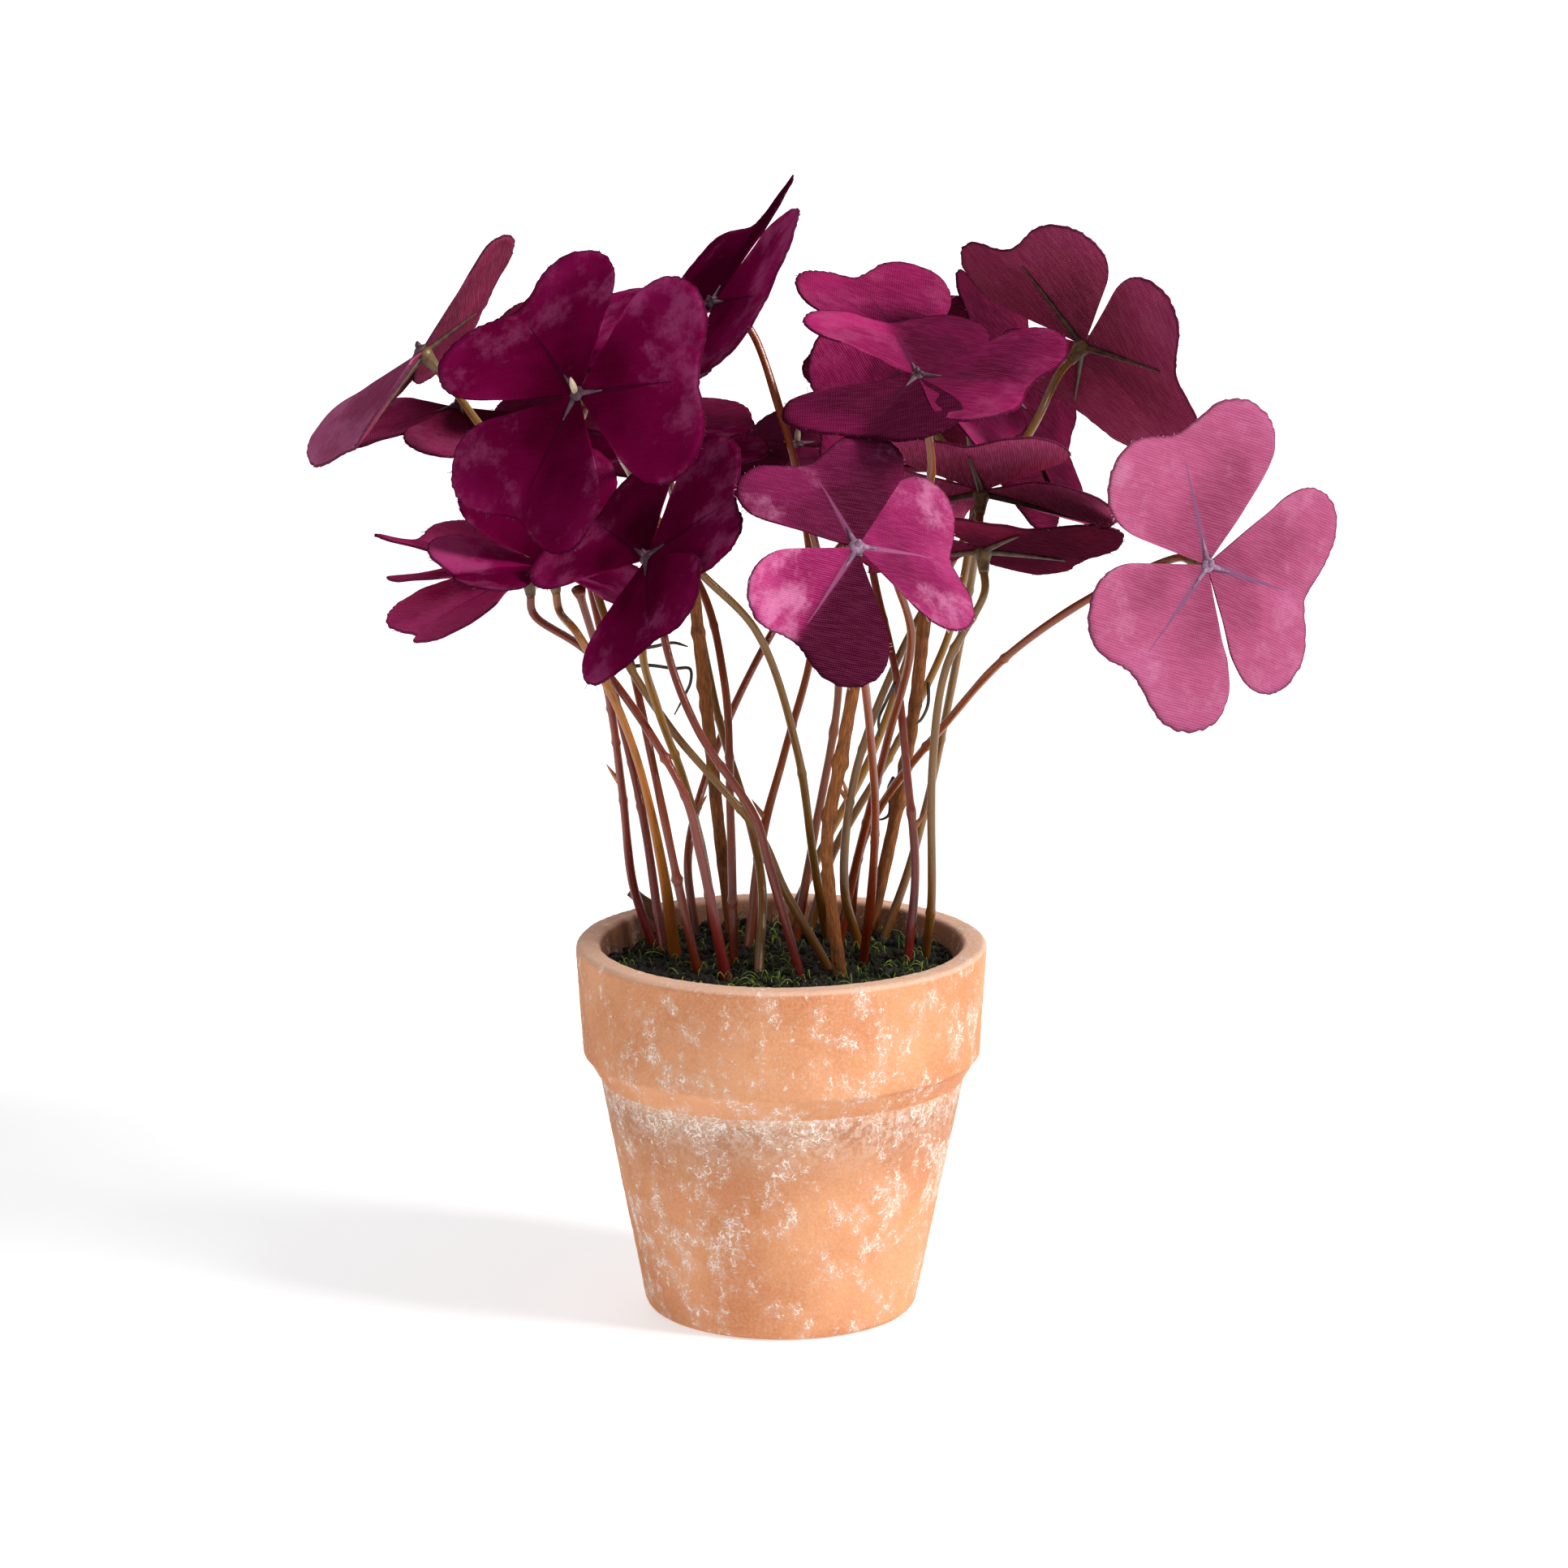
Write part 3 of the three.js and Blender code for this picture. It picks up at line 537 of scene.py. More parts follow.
ground[:, 2] = np.where(is_top, soil_top(ground), ground[:, 2])
print("soil cushion:", len(ground), "points")

# %% Crumbs
CRUMBS = 1500


def scattered(draw, count):
    """Places spread evenly over the soil's disc, on its surface."""
    radius = (soil_edge - 0.8) * np.sqrt(draw.uniform(0, 1, count))
    angle = draw.uniform(0, 2 * np.pi, count)
    places = np.stack([radius * np.cos(angle), radius * np.sin(angle), np.zeros(count)], -1)
    places[:, 2] = soil_top(places)
    return places


def crumbs(draw, count):
    """Dented balls: the corners of an icosahedron, each at its own distance from the middle."""
    golden = (1 + math.sqrt(5)) / 2
    corner = [(0, s, t * golden) for s in (-1, 1) for t in (-1, 1)]
    ball = np.array(corner + [(z, x, y) for x, y, z in corner] + [(y, z, x) for x, y, z in corner])
    ball = unit(ball.astype(float))
    near = np.linalg.norm(ball[:, None] - ball[None], axis=-1) < 1.2
    i, j, k = np.indices((12, 12, 12)).reshape(3, -1)
    touching = (i < j) & (j < k) & near[i, j] & near[j, k] & near[i, k]
    triples = np.stack([i, j, k], -1)[touching]
    a, b, c = (ball[triples[:, n]] for n in range(3))
    inward = np.einsum("ij,ij->i", np.cross(b - a, c - a), a) < 0
    triples[inward] = triples[inward][:, ::-1]
    size = draw.uniform(0.3, 1.15, (count, 1, 1)) ** 1.3
    points = ball[None] * size * draw.uniform(0.65, 1.15, (count, 12, 1))
    points = points + scattered(draw, count)[:, None] + (0, 0, 0.15)
    faces = (triples[None] + np.arange(count)[:, None, None] * 12).reshape(-1, 3)
    return part(points, [faces])


soil_draw = np.random.default_rng(21)
crumb_part = crumbs(soil_draw, CRUMBS)
print("crumbs:", CRUMBS)

# %% Moss threads
MOSS_THREADS = 760
MOSS_STATIONS = 7


def moss(draw, count):
    """Bent threads: each starts on the soil, leans its own way, and rises and sinks on one arc."""
    start = scattered(draw, count)[:, None]
    t = np.linspace(0, 1, MOSS_STATIONS)[None, :, None]
    angle = draw.uniform(0, 2 * np.pi, (count, 1, 1))
    turn = draw.uniform(-0.9, 0.9, (count, 1, 1))
    reach = draw.uniform(0.8, 3.4, (count, 1, 1))
    lift = draw.uniform(0.4, 2.4, (count, 1, 1))
    x = reach * t * np.cos(angle + turn * t)
    y = reach * t * np.sin(angle + turn * t)
    z = lift * np.sin(np.pi * np.minimum(0.15 + 0.85 * t, 0.95))
    paths = start + np.concatenate([x, y, z], -1)
    far = np.maximum(np.hypot(paths[..., 0], paths[..., 1]) / (soil_edge - 0.3), 1)[..., None]
    paths[..., :2] /= far
    radii = np.linspace(0.09, 0.03, MOSS_STATIONS)[None] * np.ones((count, 1))
    return bars(paths, radii, 4)


moss_parts = [moss(soil_draw, MOSS_THREADS // 2), moss(soil_draw, MOSS_THREADS // 2)]
print("moss threads:", MOSS_THREADS)

# %% Soil and moss finishes
def earth():
    """Nearly black and brown crumbs, with a green stain in patches."""
    material, tree, shader = finish("dark earth", Roughness=0.85, Specular_IOR_Level=0.4)
    spot = where(tree)
    tone = fade(tree, noise(tree, spot, 700, 4, 0.7), 0.4, 0.75)
    dark = mix(tree, tone, colour("0a0805"), colour("3a2f22"))
    green = fade(tree, noise(tree, spot, 180, 5, 0.6), 0.54, 0.68, 0.0, 0.5)
    paint(tree, shader, mix(tree, green, dark, colour("1a2210")))
    relief(tree, shader, noise(tree, spot, 2500, 4, 0.7), 0.0004, 0.8)
    return material


def moss_green(name, low, high):
    """Two greens in soft patches."""
    material, tree, shader = finish(name, Roughness=0.6)
    spot = where(tree)
    tone = fade(tree, noise(tree, spot, 260, 3), 0.38, 0.66)
    paint(tree, shader, mix(tree, tone, colour(low), colour(high)))
    return material


soil = build("soil_crumbs", [soil_part, crumb_part], [earth()], ["soil"])
moss_dark = build("moss_dark", moss_parts[:1], [moss_green("dark moss", "121a06", "2c4414")])
moss_light = build("moss_light", moss_parts[1:], [moss_green("light moss", "34500f", "9ab63a")])
print("soil:", len(soil.data.polygons) + len(moss_dark.data.polygons), "faces")

# %% [markdown]
# ## The hidden filler
# Under the soil a foam block holds the stems. Nothing of it shows, so its plain solid stays and only gets
# the open cells of foam as its finish.

# %% The foam finish
def foam():
    """Round open cells in two greens."""
    material, tree, shader = finish("green foam", Roughness=0.95)
    spot = where(tree)
    cells = add(tree, "TexVoronoi", {"Vector": spot, "Scale": 900}).outputs["Distance"]
    paint(tree, shader, mix(tree, cells, colour("3b4a2c"), colour("5a6b44")))
    relief(tree, shader, cells, 0.0004, 0.8)
    return material


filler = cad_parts["foam_filler"]
filler.data.materials.clear()
filler.data.materials.append(foam())
print("filler:", filler.name)

# %% [markdown]
# ## Where the leaves stand
# Each leaf has a hub, a direction that its upper side faces, and three leaflets round the hub. The
# numbers repeat those that the plain solids were made from, so that the cloth lies just where they are.
# A face is an azimuth and an elevation in degrees. A leaflet is its swing round the hub, lift, roll and
# fold in degrees, and its curl in millimetres. A stem is its foot in the soil and the points up to the
# socket, in millimetres. Each leaf could be posed by hand in the viewport, but then no one could read how.

# %% The leaf table
LEAVES = {
    "front_left": dict(
        hub=[-30, -39, 152], face=[-130, 25], turn=15, size=1.02,
        leaflets=[[0, -5, 5, 8, 1], [10, 0, 15, 8, 1], [0, 0, 0, 8, 1]],
        stem=[
            [7, 16.5], [5, 12, 70], [2.5, 7, 88], [-4, -1, 109],
            [-13, -3, 119], [-20, -3, 128], [-23, -9, 135], [-25, -21, 141.5],
        ],
    ),
    "far_right": dict(
        hub=[64, -26, 124], face=[-55, 0], turn=345, size=1.05,
        leaflets=[[-5, 0, 0, 8, 1], [0, 0, 0, 8, 1], [0, 5, 0, 8, 1]],
        stem=[[11, 20.5], [12.5, 19, 69], [16, 14, 78], [26, 2, 94], [35, -10, 107], [48, -18, 118]],
    ),
    "front_middle": dict(
        hub=[11, -52, 131.5], face=[-70, 30], turn=350, size=0.85,
        leaflets=[[5, -15, -10, 8, 1], [-10, -20, -5, 8, 1], [0, -10, -20, 15, 1]],
        stem=[[13, 0], [14, -5, 68], [14.5, -11, 81], [14, -18, 91], [12, -33, 111]],
    ),
    "top_right": dict(
        hub=[47, 10, 152], face=[45, 35], turn=70, size=1,
        leaflets=[[5, 0, 5, 8, 1], [-5, -5, -10, 8, 1], [-5, 5, 0, 8, 1]],
        stem=[
            [12, 10], [10, 9, 65], [11.5, 10, 83], [19, 9, 104],
            [28, 10.5, 120], [32.2, 5.8, 130.7], [35.2, 0, 135.3], [39, 1, 141],
        ],
    ),
    "top_middle": dict(
        hub=[-10.5, 12, 158], face=[-165, 35], turn=15, size=1,
        leaflets=[[0, 0, 0, 8, 1], [0, -5, 0, 10, 1], [0, 35, 0, 8, 1]],
        stem=[[2.5, 15.5], [5, 17, 71], [9, 16, 96], [8, 13, 108], [4.5, 9, 124], [0, 9, 141]],
    ),
    "far_left": dict(
        hub=[-55.5, 3, 152], face=[180, 50], turn=0, size=1,
        leaflets=[[-55, -10, 0, 15, 1], [30, -5, -20, 8, 1], [-25, -10, 0, 8, 1]],
        stem=[
            [6.5, -2.5], [0.5, -3, 68], [-3.5, -3, 77], [-17.5, -2, 94],
            [-26, -2, 108], [-31, 5.5, 120], [-37.5, 0.5, 132], [-45, -3.5, 140],
        ],
    ),
    "left_inner": dict(
        hub=[-51, 20, 140.5], face=[-90, 85], turn=145, size=0.8,
        leaflets=[[40, -15, 0, 8, 1], [25, -10, 0, 8, 1], [0, -45, 0, 8, 1]],
        stem=[
            [-13.5, -4], [-15.5, -3.5, 66], [-19.5, -1, 85],
            [-24, 10, 103], [-29, 25, 115], [-43, 21, 130],
        ],
    ),
    "right_upper": dict(
        hub=[20.5, -23, 152], face=[-120, 70], turn=15, size=0.95,
        leaflets=[[-15, 5, 0, 8, 2], [-5, 5, 20, 8, 2], [15, 5, 0, 8, 2]],
        stem=[
            [9.5, 13], [11.5, 13, 67], [16.5, 4, 90],
            [20, -7, 109], [17, -16, 124.5], [22.5, -17, 135],
        ],
    ),
    "right_inner": dict(
        hub=[21, 14.5, 148.5], face=[-40, 30], turn=310, size=0.95,
        leaflets=[[-10, 10, -20, 8, 1], [10, -20, -10, 8, 1], [0, -20, -35, 8, 1]],
        stem=[[20, 1], [21, 2, 70], [19.7, 3, 85], [18, 6, 100], [14, 17, 118], [14.5, 21, 130]],
    ),
    "right_back": dict(
        hub=[37, 43, 138.5], face=[-20, 20], turn=330, size=0.95,
        leaflets=[[-10, 5, 0, 8, 1], [-10, 0, 0, 8, 1], [15, 0, 0, 8, 1]],
        stem=[[5, 21.5], [8, 23.5, 67], [19.5, 26, 87], [27.5, 31, 104], [31, 35, 124]],
    ),
    "right_low": dict(
        hub=[31, 2, 130.5], face=[80, 60], turn=70, size=1,
        leaflets=[[20, 0, 0, 8, 1], [0, -10, 10, 8, 1], [30, -5, 0, 8, 1]],
        stem=[[17, 17], [20, 19, 65], [23.5, 20, 78], [27, 13, 98], [29.5, 6, 115]],
    ),
    "right_low_back": dict(
        hub=[31, -4, 122.5], face=[95, 65], turn=165, size=0.9,
        leaflets=[[40, 0, 0, 8, 1], [55, 0, 0, 8, 1], [60, -5, 0, 8, 1]],
        stem=[[22.8, 3], [23.5, 0, 65], [23.5, -2.5, 88], [25.5, -5, 104]],
    ),
    "middle_back": dict(
        hub=[2.5, 34, 132], face=[-90, 85], turn=30, size=0.85,
        leaflets=[[0, 0, 0, 8, 1], [-25, -5, -10, 8, 1], [-10, 0, 0, 8, 1]],
        stem=[[-5, 9], [-3, 13, 73], [0.5, 20, 85], [5, 26, 102], [4, 31, 119]],
    ),
    "left_low_front": dict(
        hub=[-20, -34, 126.5], face=[-155, 40], turn=65, size=0.9,
        leaflets=[[-15, 0, 5, 8, 1], [-10, 10, 10, 8, 1], [15, -5, 5, 8, 1]],
        stem=[[-11, 18.5], [-12, 14, 67], [-15, 1, 84], [-19, -9, 98], [-21, -20, 111]],
    ),
    "left_low": dict(
        hub=[-39.5, 3, 117.5], face=[-135, 80], turn=90, size=1,
        leaflets=[[80, -5, 0, 8, 1], [-15, 15, 15, 8, 1], [-85, -15, 5, 8, 1]],
        stem=[[-9, -8], [-12.5, -9, 75], [-15.5, -10, 86], [-29.5, -1, 105]],
    ),
    "left_shelf": dict(
        hub=[-35, -13, 121], face=[-120, 75], turn=250, size=0.8,
        leaflets=[[-20, 15, 0, 8, 1], [30, -30, 0, 8, 1], [0, 70, 0, 8, 1]],
        stem=[[-17, 5.5], [-18.5, 3, 69], [-22, -5, 88], [-26, -12, 101], [-31, -19, 112]],
    ),
    "left_top_back": dict(
        hub=[-31, 22, 147], face=[-90, 80], turn=80, size=0.85,
        leaflets=[[0, 0, 0, 8, 1], [0, 0, 0, 8, 1], [5, 0, 0, 8, 1]],
        stem=[[-7.5, 0], [-8, 2.5, 79], [-9, 9, 99], [-14, 20, 114], [-33, 36, 130]],
    ),
    "left_middle": dict(
        hub=[-20, 12, 135], face=[-90, 84], turn=70, size=0.75,
        leaflets=[[0, 0, 0, 8, 1], [0, 0, 0, 8, 1], [15, 0, 0, 8, 1]],
        stem=[[2.5, -7], [-2, -6, 73], [-4, -5.5, 80], [-13, -4.5, 94], [-18, -1, 107], [-19, 3, 119]],
    ),
    "back_middle": dict(
        hub=[14, 66, 123], face=[90, 84], turn=60, size=0.7,
        leaflets=[[0, 0, 0, 8, 1], [0, 0, 0, 8, 1], [0, 0, 0, 8, 1]],
        stem=[[-14, 20], [-15, 24, 67], [-11, 35, 81], [0, 50, 101]],
    ),
    "back_left": dict(
        hub=[-18, 58, 129], face=[-80, 78], turn=20, size=0.8,
        leaflets=[[0, 0, 0, 8, 1], [0, 0, 0, 8, 1], [0, 0, 0, 8, 1]],
        stem=[[-3.5, -6], [-3, 0, 67], [-5, 9, 76], [-10, 22, 90], [-16, 42, 116]],
    ),
    "back_right": dict(
        hub=[22.5, 60, 139], face=[80, 35], turn=30, size=0.8,
        leaflets=[[0, 0, 0, 8, 1], [0, 0, 0, 8, 1], [0, 0, 0, 8, 1]],
        stem=[[1.5, 23], [7, 29, 68], [15, 36, 82], [25, 44, 112], [27, 50, 128]],
    ),
    "back_far_left": dict(
        hub=[-34, 50, 142], face=[-100, 60], turn=40, size=0.8,
        leaflets=[[0, 0, 0, 8, 1], [0, 0, 0, 8, 1], [0, 0, 0, 8, 1]],
        stem=[[-19, 8], [-22, 14, 76], [-28, 24, 100], [-34, 34, 128]],
    ),
}
print("leaves:", len(LEAVES))

# %% [markdown]
# ## Cloth leaflets
# A leaflet is cut from woven cloth and pressed along its rib. A flat heart could be subdivided and shrunk
# on to the plain solid, but its edge would lose the notch. Here it is a fan of columns from the hub to the
# edge, on both faces, so the outline is one formula: round shoulders less a notch. The press leaves a
# fine ridge along the rib, the cloth waves a little more towards the edge, and the cut edge is uneven.

# %% The leaflet's outline
LEAFLET_LENGTH = 25.2
HALF_ANGLE = math.radians(53)
SHOULDER_DROP = 0.45
NOTCH_DEPTH = 0.2
NOTCH_WIDTH = 0.35


def edge_distance(u):
    """Hub to edge for u from -1 to 1 across the leaflet: shoulders (1 - u^4) less a Gaussian notch."""
    shoulders = 1 - SHOULDER_DROP * (1 - np.sqrt(np.maximum(0, 1 - u**4)))
    notch = 1 - NOTCH_DEPTH * np.exp(-((u / NOTCH_WIDTH) ** 2))
    return LEAFLET_LENGTH * shoulders * notch


print("leaflet:", round(float(edge_distance(np.zeros(1))[0]), 1), "mm from hub to notch")

# %% The leaflet's place on its hub
CREASE = 0.7


def turned_round(vector, axis, degrees):
    """A vector turned round an axis of length 1, by Rodrigues' formula."""
    angle = math.radians(degrees)
    along = axis * np.dot(axis, vector) * (1 - math.cos(angle))
    return vector * math.cos(angle) + np.cross(axis, vector) * math.sin(angle) + along


def facing(leaf):
    """The direction that the leaf's upper side looks at."""
    azimuth, elevation = np.radians(leaf["face"])
    level = math.cos(elevation)
    return np.array([level * math.cos(azimuth), level * math.sin(azimuth), math.sin(elevation)])


def leaflet_axes(leaf, k):
    """The directions of one leaflet: along its rib, across it and up out of its face."""
    swing, lift, roll = leaf["leaflets"][k][:3]
    up = facing(leaf)
    azimuth = math.radians(leaf["face"][0])
    level = np.array([-math.sin(azimuth), math.cos(azimuth), 0])
    rib = turned_round(level, up, leaf["turn"] + 120 * k + swing)
    across = np.cross(up, rib)
    rib, up = (turned_round(v, across, -lift) for v in (rib, up))
    across, up = (turned_round(v, rib, roll) for v in (across, up))
    return rib, across, up


def on_leaflet(leaf, k, x, y, offset):
    """Flat places x along the rib and y across it, in millimetres at size 1, put on the bent leaflet.
    Height over the flat is fold * distance from the crease, less curl * (distance / length) squared."""
    rib, across, up = leaflet_axes(leaf, k)
    fold = math.tan(math.radians(leaf["leaflets"][k][3]))
    curl = leaf["leaflets"][k][4]
    creased = np.sqrt(y**2 + CREASE**2) - CREASE
    height = fold * creased - curl * (x**2 + y**2) / LEAFLET_LENGTH**2
    size = leaf["size"]
    flat = size * (x[..., None] * rib + y[..., None] * across)
    return np.array(leaf["hub"]) + flat + (size * height + offset)[..., None] * up


print("leaflet places ready")

# %% [markdown]
# ## One leaf of cloth
# The three leaflets come from one piece of cloth, so the threads run the same way through all of them.
# Object coordinates would cut straight through the bent leaflets, so each finish reads the leaf's own maps.
# `cloth` holds a place on the flat cloth. `place` holds how far out towards the edge a point is and how far
# off the rib, `rib` how far along the rib, and `tone` the painted light and shade on that half of the
# leaflet.

# %% Leaflet surfaces
COLUMNS = 96
RINGS = 22
START = 0.045
RING_SPACING = 0.75
CLOTH_THICKNESS = 0.36
RIB_END = 0.66
RIB_HEIGHT = 0.16
RIB_WIDTH = 0.4
WAVE, WAVE_SIZE = 0.55, 16
PUCKER, PUCKER_SIZE = 0.12, 5
FRAY, FRAY_STEEPNESS = 0.17, 14


def grid_faces(rows, columns):
    """Quads of a grid of points, and the point numbers round its border."""
    number = np.arange(rows * columns).reshape(rows, columns)
    quads = np.stack([number[:-1, :-1], number[1:, :-1], number[1:, 1:], number[:-1, 1:]], -1).reshape(-1, 4)
    border = np.concatenate([number[0, :-1], number[:-1, -1], number[-1, :0:-1], number[:0:-1, 0]])
    return quads, border


def blade(leaf, k, seed):
    """Both faces of one leaflet as a closed shell, with its maps, and the points of its cut edge. u runs
    across the fan and s runs out from the hub: x, y = s * edge distance * (cos, sin) of the fan's angle."""
    draw = np.random.default_rng(seed)
    u = np.sin(np.linspace(-np.pi / 2, np.pi / 2, COLUMNS + 1))[None]
    s = np.linspace(START**RING_SPACING, 1, RINGS + 1)[:, None] ** (1 / RING_SPACING)
    fray = 1 + FRAY / LEAFLET_LENGTH * draw.uniform(-1, 1, COLUMNS + 1)[None] * s**FRAY_STEEPNESS
    distance = s * edge_distance(u) * fray
    x = distance * np.cos(HALF_ANGLE * u)
    y = distance * np.sin(HALF_ANGLE * u)
    flat = np.stack([x, y, 0 * x], -1)
    wave = WAVE * s**2 * ripple(flat, WAVE_SIZE, seed + 1, 12)
    wave = wave + PUCKER * s * ripple(flat, PUCKER_SIZE, seed + 2, 16)
    reach = x / LEAFLET_LENGTH
    ridge = RIB_HEIGHT * np.exp(-((y / RIB_WIDTH) ** 2)) * (1 - reach / RIB_END).clip(0, 1) ** 0.5
    half = CLOTH_THICKNESS / 2
    upper = on_leaflet(leaf, k, x, y, wave + half + ridge)
    under = on_leaflet(leaf, k, x, y, wave - half + ridge * 0.5)

    turn = math.radians(120 * k + leaf["turn"] + leaf["grain"])
    # Painted light and shade: each half of the leaflet gets its own value, blended across the rib, in the map
    # tone.
    left, right = leaf["tones"][k]
    blend = 0.5 + 0.5 * np.tanh(y / 1.2)
    maps = dict(
        cloth=(x * math.cos(turn) - y * math.sin(turn), x * math.sin(turn) + y * math.cos(turn)),
        place=(s * np.ones_like(u), y),
        rib=(reach, 0 * reach),
        tone=(right * (1 - blend) + left * blend, 0 * blend),
    )
    maps = {name: np.stack(pair, -1).reshape(-1, 2) for name, pair in maps.items()}

    quads, border = grid_faces(RINGS + 1, COLUMNS + 1)
    count = x.size
    after = np.roll(border, -1)
    wall = np.stack([border, after, after + count, border + count], -1)
    shell = np.concatenate([upper.reshape(-1, 3), under.reshape(-1, 3)])
    doubled = {name: np.concatenate([grid, grid]) for name, grid in maps.items()}
    cut = on_leaflet(leaf, k, x[-1], y[-1], wave[-1])
    return part(shell, [quads, quads[:, ::-1] + count, wall], [0, 1, 0], **doubled), cut


print("a blade has", (COLUMNS + 1) * (RINGS + 1) * 2, "points")

# %% Loose threads
FIBRES = 26
FIBRE_RADIUS = 0.045


def fibres(edge, hub, seed):
    """Loose threads on a cut edge: short thin bars that point outwards and a little to one side."""
    draw = np.random.default_rng(seed)
    pick = draw.integers(4, len(edge) - 4, FIBRES)
    start = edge[pick]
    out = unit(start - hub)
    aside = unit(edge[pick + 2] - edge[pick - 2])
    way = unit(out + aside * draw.uniform(-1.2, 1.2, (FIBRES, 1)) + 0.25 * draw.normal(size=(FIBRES, 3)))
    length = draw.uniform(0.25, 0.9, (FIBRES, 1, 1))
    bend = 0.3 * unit(draw.normal(size=(FIBRES, 3)))[:, None]
    t = np.linspace(0, 1, 4)[None, :, None]
    paths = start[:, None] - 0.2 * out[:, None] + length * (way[:, None] * t + bend * t**2)
    return bars(paths, np.full((FIBRES, 4), FIBRE_RADIUS), 3, 2)


print("loose threads:", FIBRES, "to a leaflet")

# %% [markdown]
# ## Dyed cloth
# The colour is mixed in layers. Slow noise mixes a deep and a middle dye, the outer lobes are paler, partly
# from the dye's own edge and partly as painted glare, each half of a leaflet takes painted light and shade,
# and chalky bloom lies on them in broken clouds. A scan of cloth would show its repeat at this size, so the
# weave is two sets of sine ridges on the map `cloth`: the crests are painted paler as highlights on the
# threads and the hollows darker as painted shade, and the same ridges give the bump. The rib is a thin
# pressed line, and the cut edge is scorched dark. Dyed cloth hardly shines, so the shader has no mirror part
# and only a trace of sheen.

# %% The weave
THREAD_PITCH = 0.38
TURN = 2 * math.pi


def weave_pattern(tree, spot):
    """The crests of the threads, sin(2 pi * place / pitch) both ways, and slubs: long uneven streaks along
    the weft. The place wanders by a little noise, so that no thread is quite straight."""
    thread = split(tree, uv(tree, "cloth"))
    wander = times(tree, noise(tree, spot, 260, 2), 0.5)
    across = plus(tree, thread[0], wander)
    down = plus(tree, thread[1], wander)
    pace = TURN / THREAD_PITCH
    weft = calc(tree, "SINE", times(tree, down, pace))
    warp = calc(tree, "SINE", times(tree, across, pace))
    crest = fade(tree, plus(tree, times(tree, weft, 0.62), times(tree, warp, 0.38)), -0.7, 0.9)
    along = add(tree, "CombineXYZ", {0: times(tree, across, 0.3), 1: times(tree, down, 2.0)}).outputs[0]
    return crest, fade(tree, noise(tree, along, 1.0, 3, 0.6), 0.4, 0.64)


print("weave:", THREAD_PITCH, "mm from thread to thread")

# %% The dye, the rib and the cloth finish
def dyed(tree, spot, tone, out, dyes, bloom, chalk):
    """Three dyes (deep, body, light) by slow noise, painted light and shade by tone, and how far out, with
    clouds of bloom on them.
    """
    slow = noise(tree, spot, 95, 3, 0.5)
    # Painted light and shade: tone raises or lowers the dye level on its half of the leaflet.
    level = plus(tree, times(tree, slow, 0.8), times(tree, tone, 0.5))
    # Paler towards the lobes and darker near the hub: partly the dye's own edge colour, partly painted glare
    # on the lobes.
    level = plus(tree, level, fade(tree, out, 0.25, 1.0, -0.14, 0.2))
    deep, body, light = (colour(dye) for dye in dyes)
    colours = mix(tree, fade(tree, level, 0.18, 0.5), deep, body)
    colours = mix(tree, fade(tree, level, 0.5, 0.85), colours, light)
    # The bloom clouds also follow the painted light and shade in tone.
    cloud = plus(tree, noise(tree, spot, 170, 7, 0.68), times(tree, tone, 0.2))
    cloud = plus(tree, cloud, fade(tree, out, 0.35, 0.8, -0.14, 0.03))
    return mix(tree, times(tree, fade(tree, cloud, 0.5, 0.72), chalk), colours, colour(bloom))


def pressed_rib(tree, reach, aside):
    """1 on the pressed line, which is aside / width under a limit, and narrows and fades towards its end."""
    width = fade(tree, reach, 0.1, RIB_END, 0.75, 0.12)
    line_across = calc(tree, "DIVIDE", calc(tree, "ABSOLUTE", aside), width)
    fading = fade(tree, reach, RIB_END - 0.05, RIB_END, 0.85, 0.0)
    return times(tree, fade(tree, line_across, 0.35, 1.0, 1.0, 0.0), fading)


def cloth(name, deep, body, light, bloom, rib, weave, chalk, cut="2c0a18", rough=0.65, thread_light=None):
    """Dye, then threads as strong as weave says, the rib, the painted light and shade of tone, and the
    scorched cut edge.
    """
    material, tree, shader = finish(
        name, Roughness=rough, Specular_IOR_Level=0.0,
        Sheen_Weight=0.02, Sheen_Roughness=0.4, Sheen_Tint=colour(bloom),
    )
    spot = where(tree)
    out, aside, _ = split(tree, uv(tree, "place"))
    reach = split(tree, uv(tree, "rib"))[0]
    tone = split(tree, uv(tree, "tone"))[0]
    crest, slubs = weave_pattern(tree, spot)
    colours = dyed(tree, spot, tone, out, (deep, body, light), bloom, chalk)
    # Painted highlight and shade on the threads: crests go towards the pale thread colour, hollows towards
    # the deep dye. The slubs use the same colours for the yarn's own unevenness.
    paler = mix(tree, 0.55, colours, colour(thread_light or light))
    darker = mix(tree, 0.6, colours, colour(deep))
    woven = mix(tree, crest, darker, paler)
    uneven = mix(tree, slubs, darker, paler)
    colours = mix(tree, weave, colours, mix(tree, 0.32, woven, uneven))
    colours = mix(tree, pressed_rib(tree, reach, aside), colours, colour(rib))
    # Painted light and shade: tone scales the colour from 0.45 to 1.55 times.
    gain = add(tree, "MapRange", {0: tone, 1: -1.0, 2: 1.0, 3: 0.45, 4: 1.55}).outputs[0]
    colours = vectors(tree, "SCALE", {0: colours, "Scale": gain})
    scorch = fade(tree, out, 0.98, 0.999, 0.0, 0.7)
    paint(tree, shader, mix(tree, scorch, colours, colour(cut)))
    fine = relief(tree, shader, crest, 0.00008, 0.35 + 0.5 * weave)
    relief(tree, shader, noise(tree, spot, 220, 4, 0.6), 0.0006, 0.35, fine)
    return material


print("cloth finish ready")

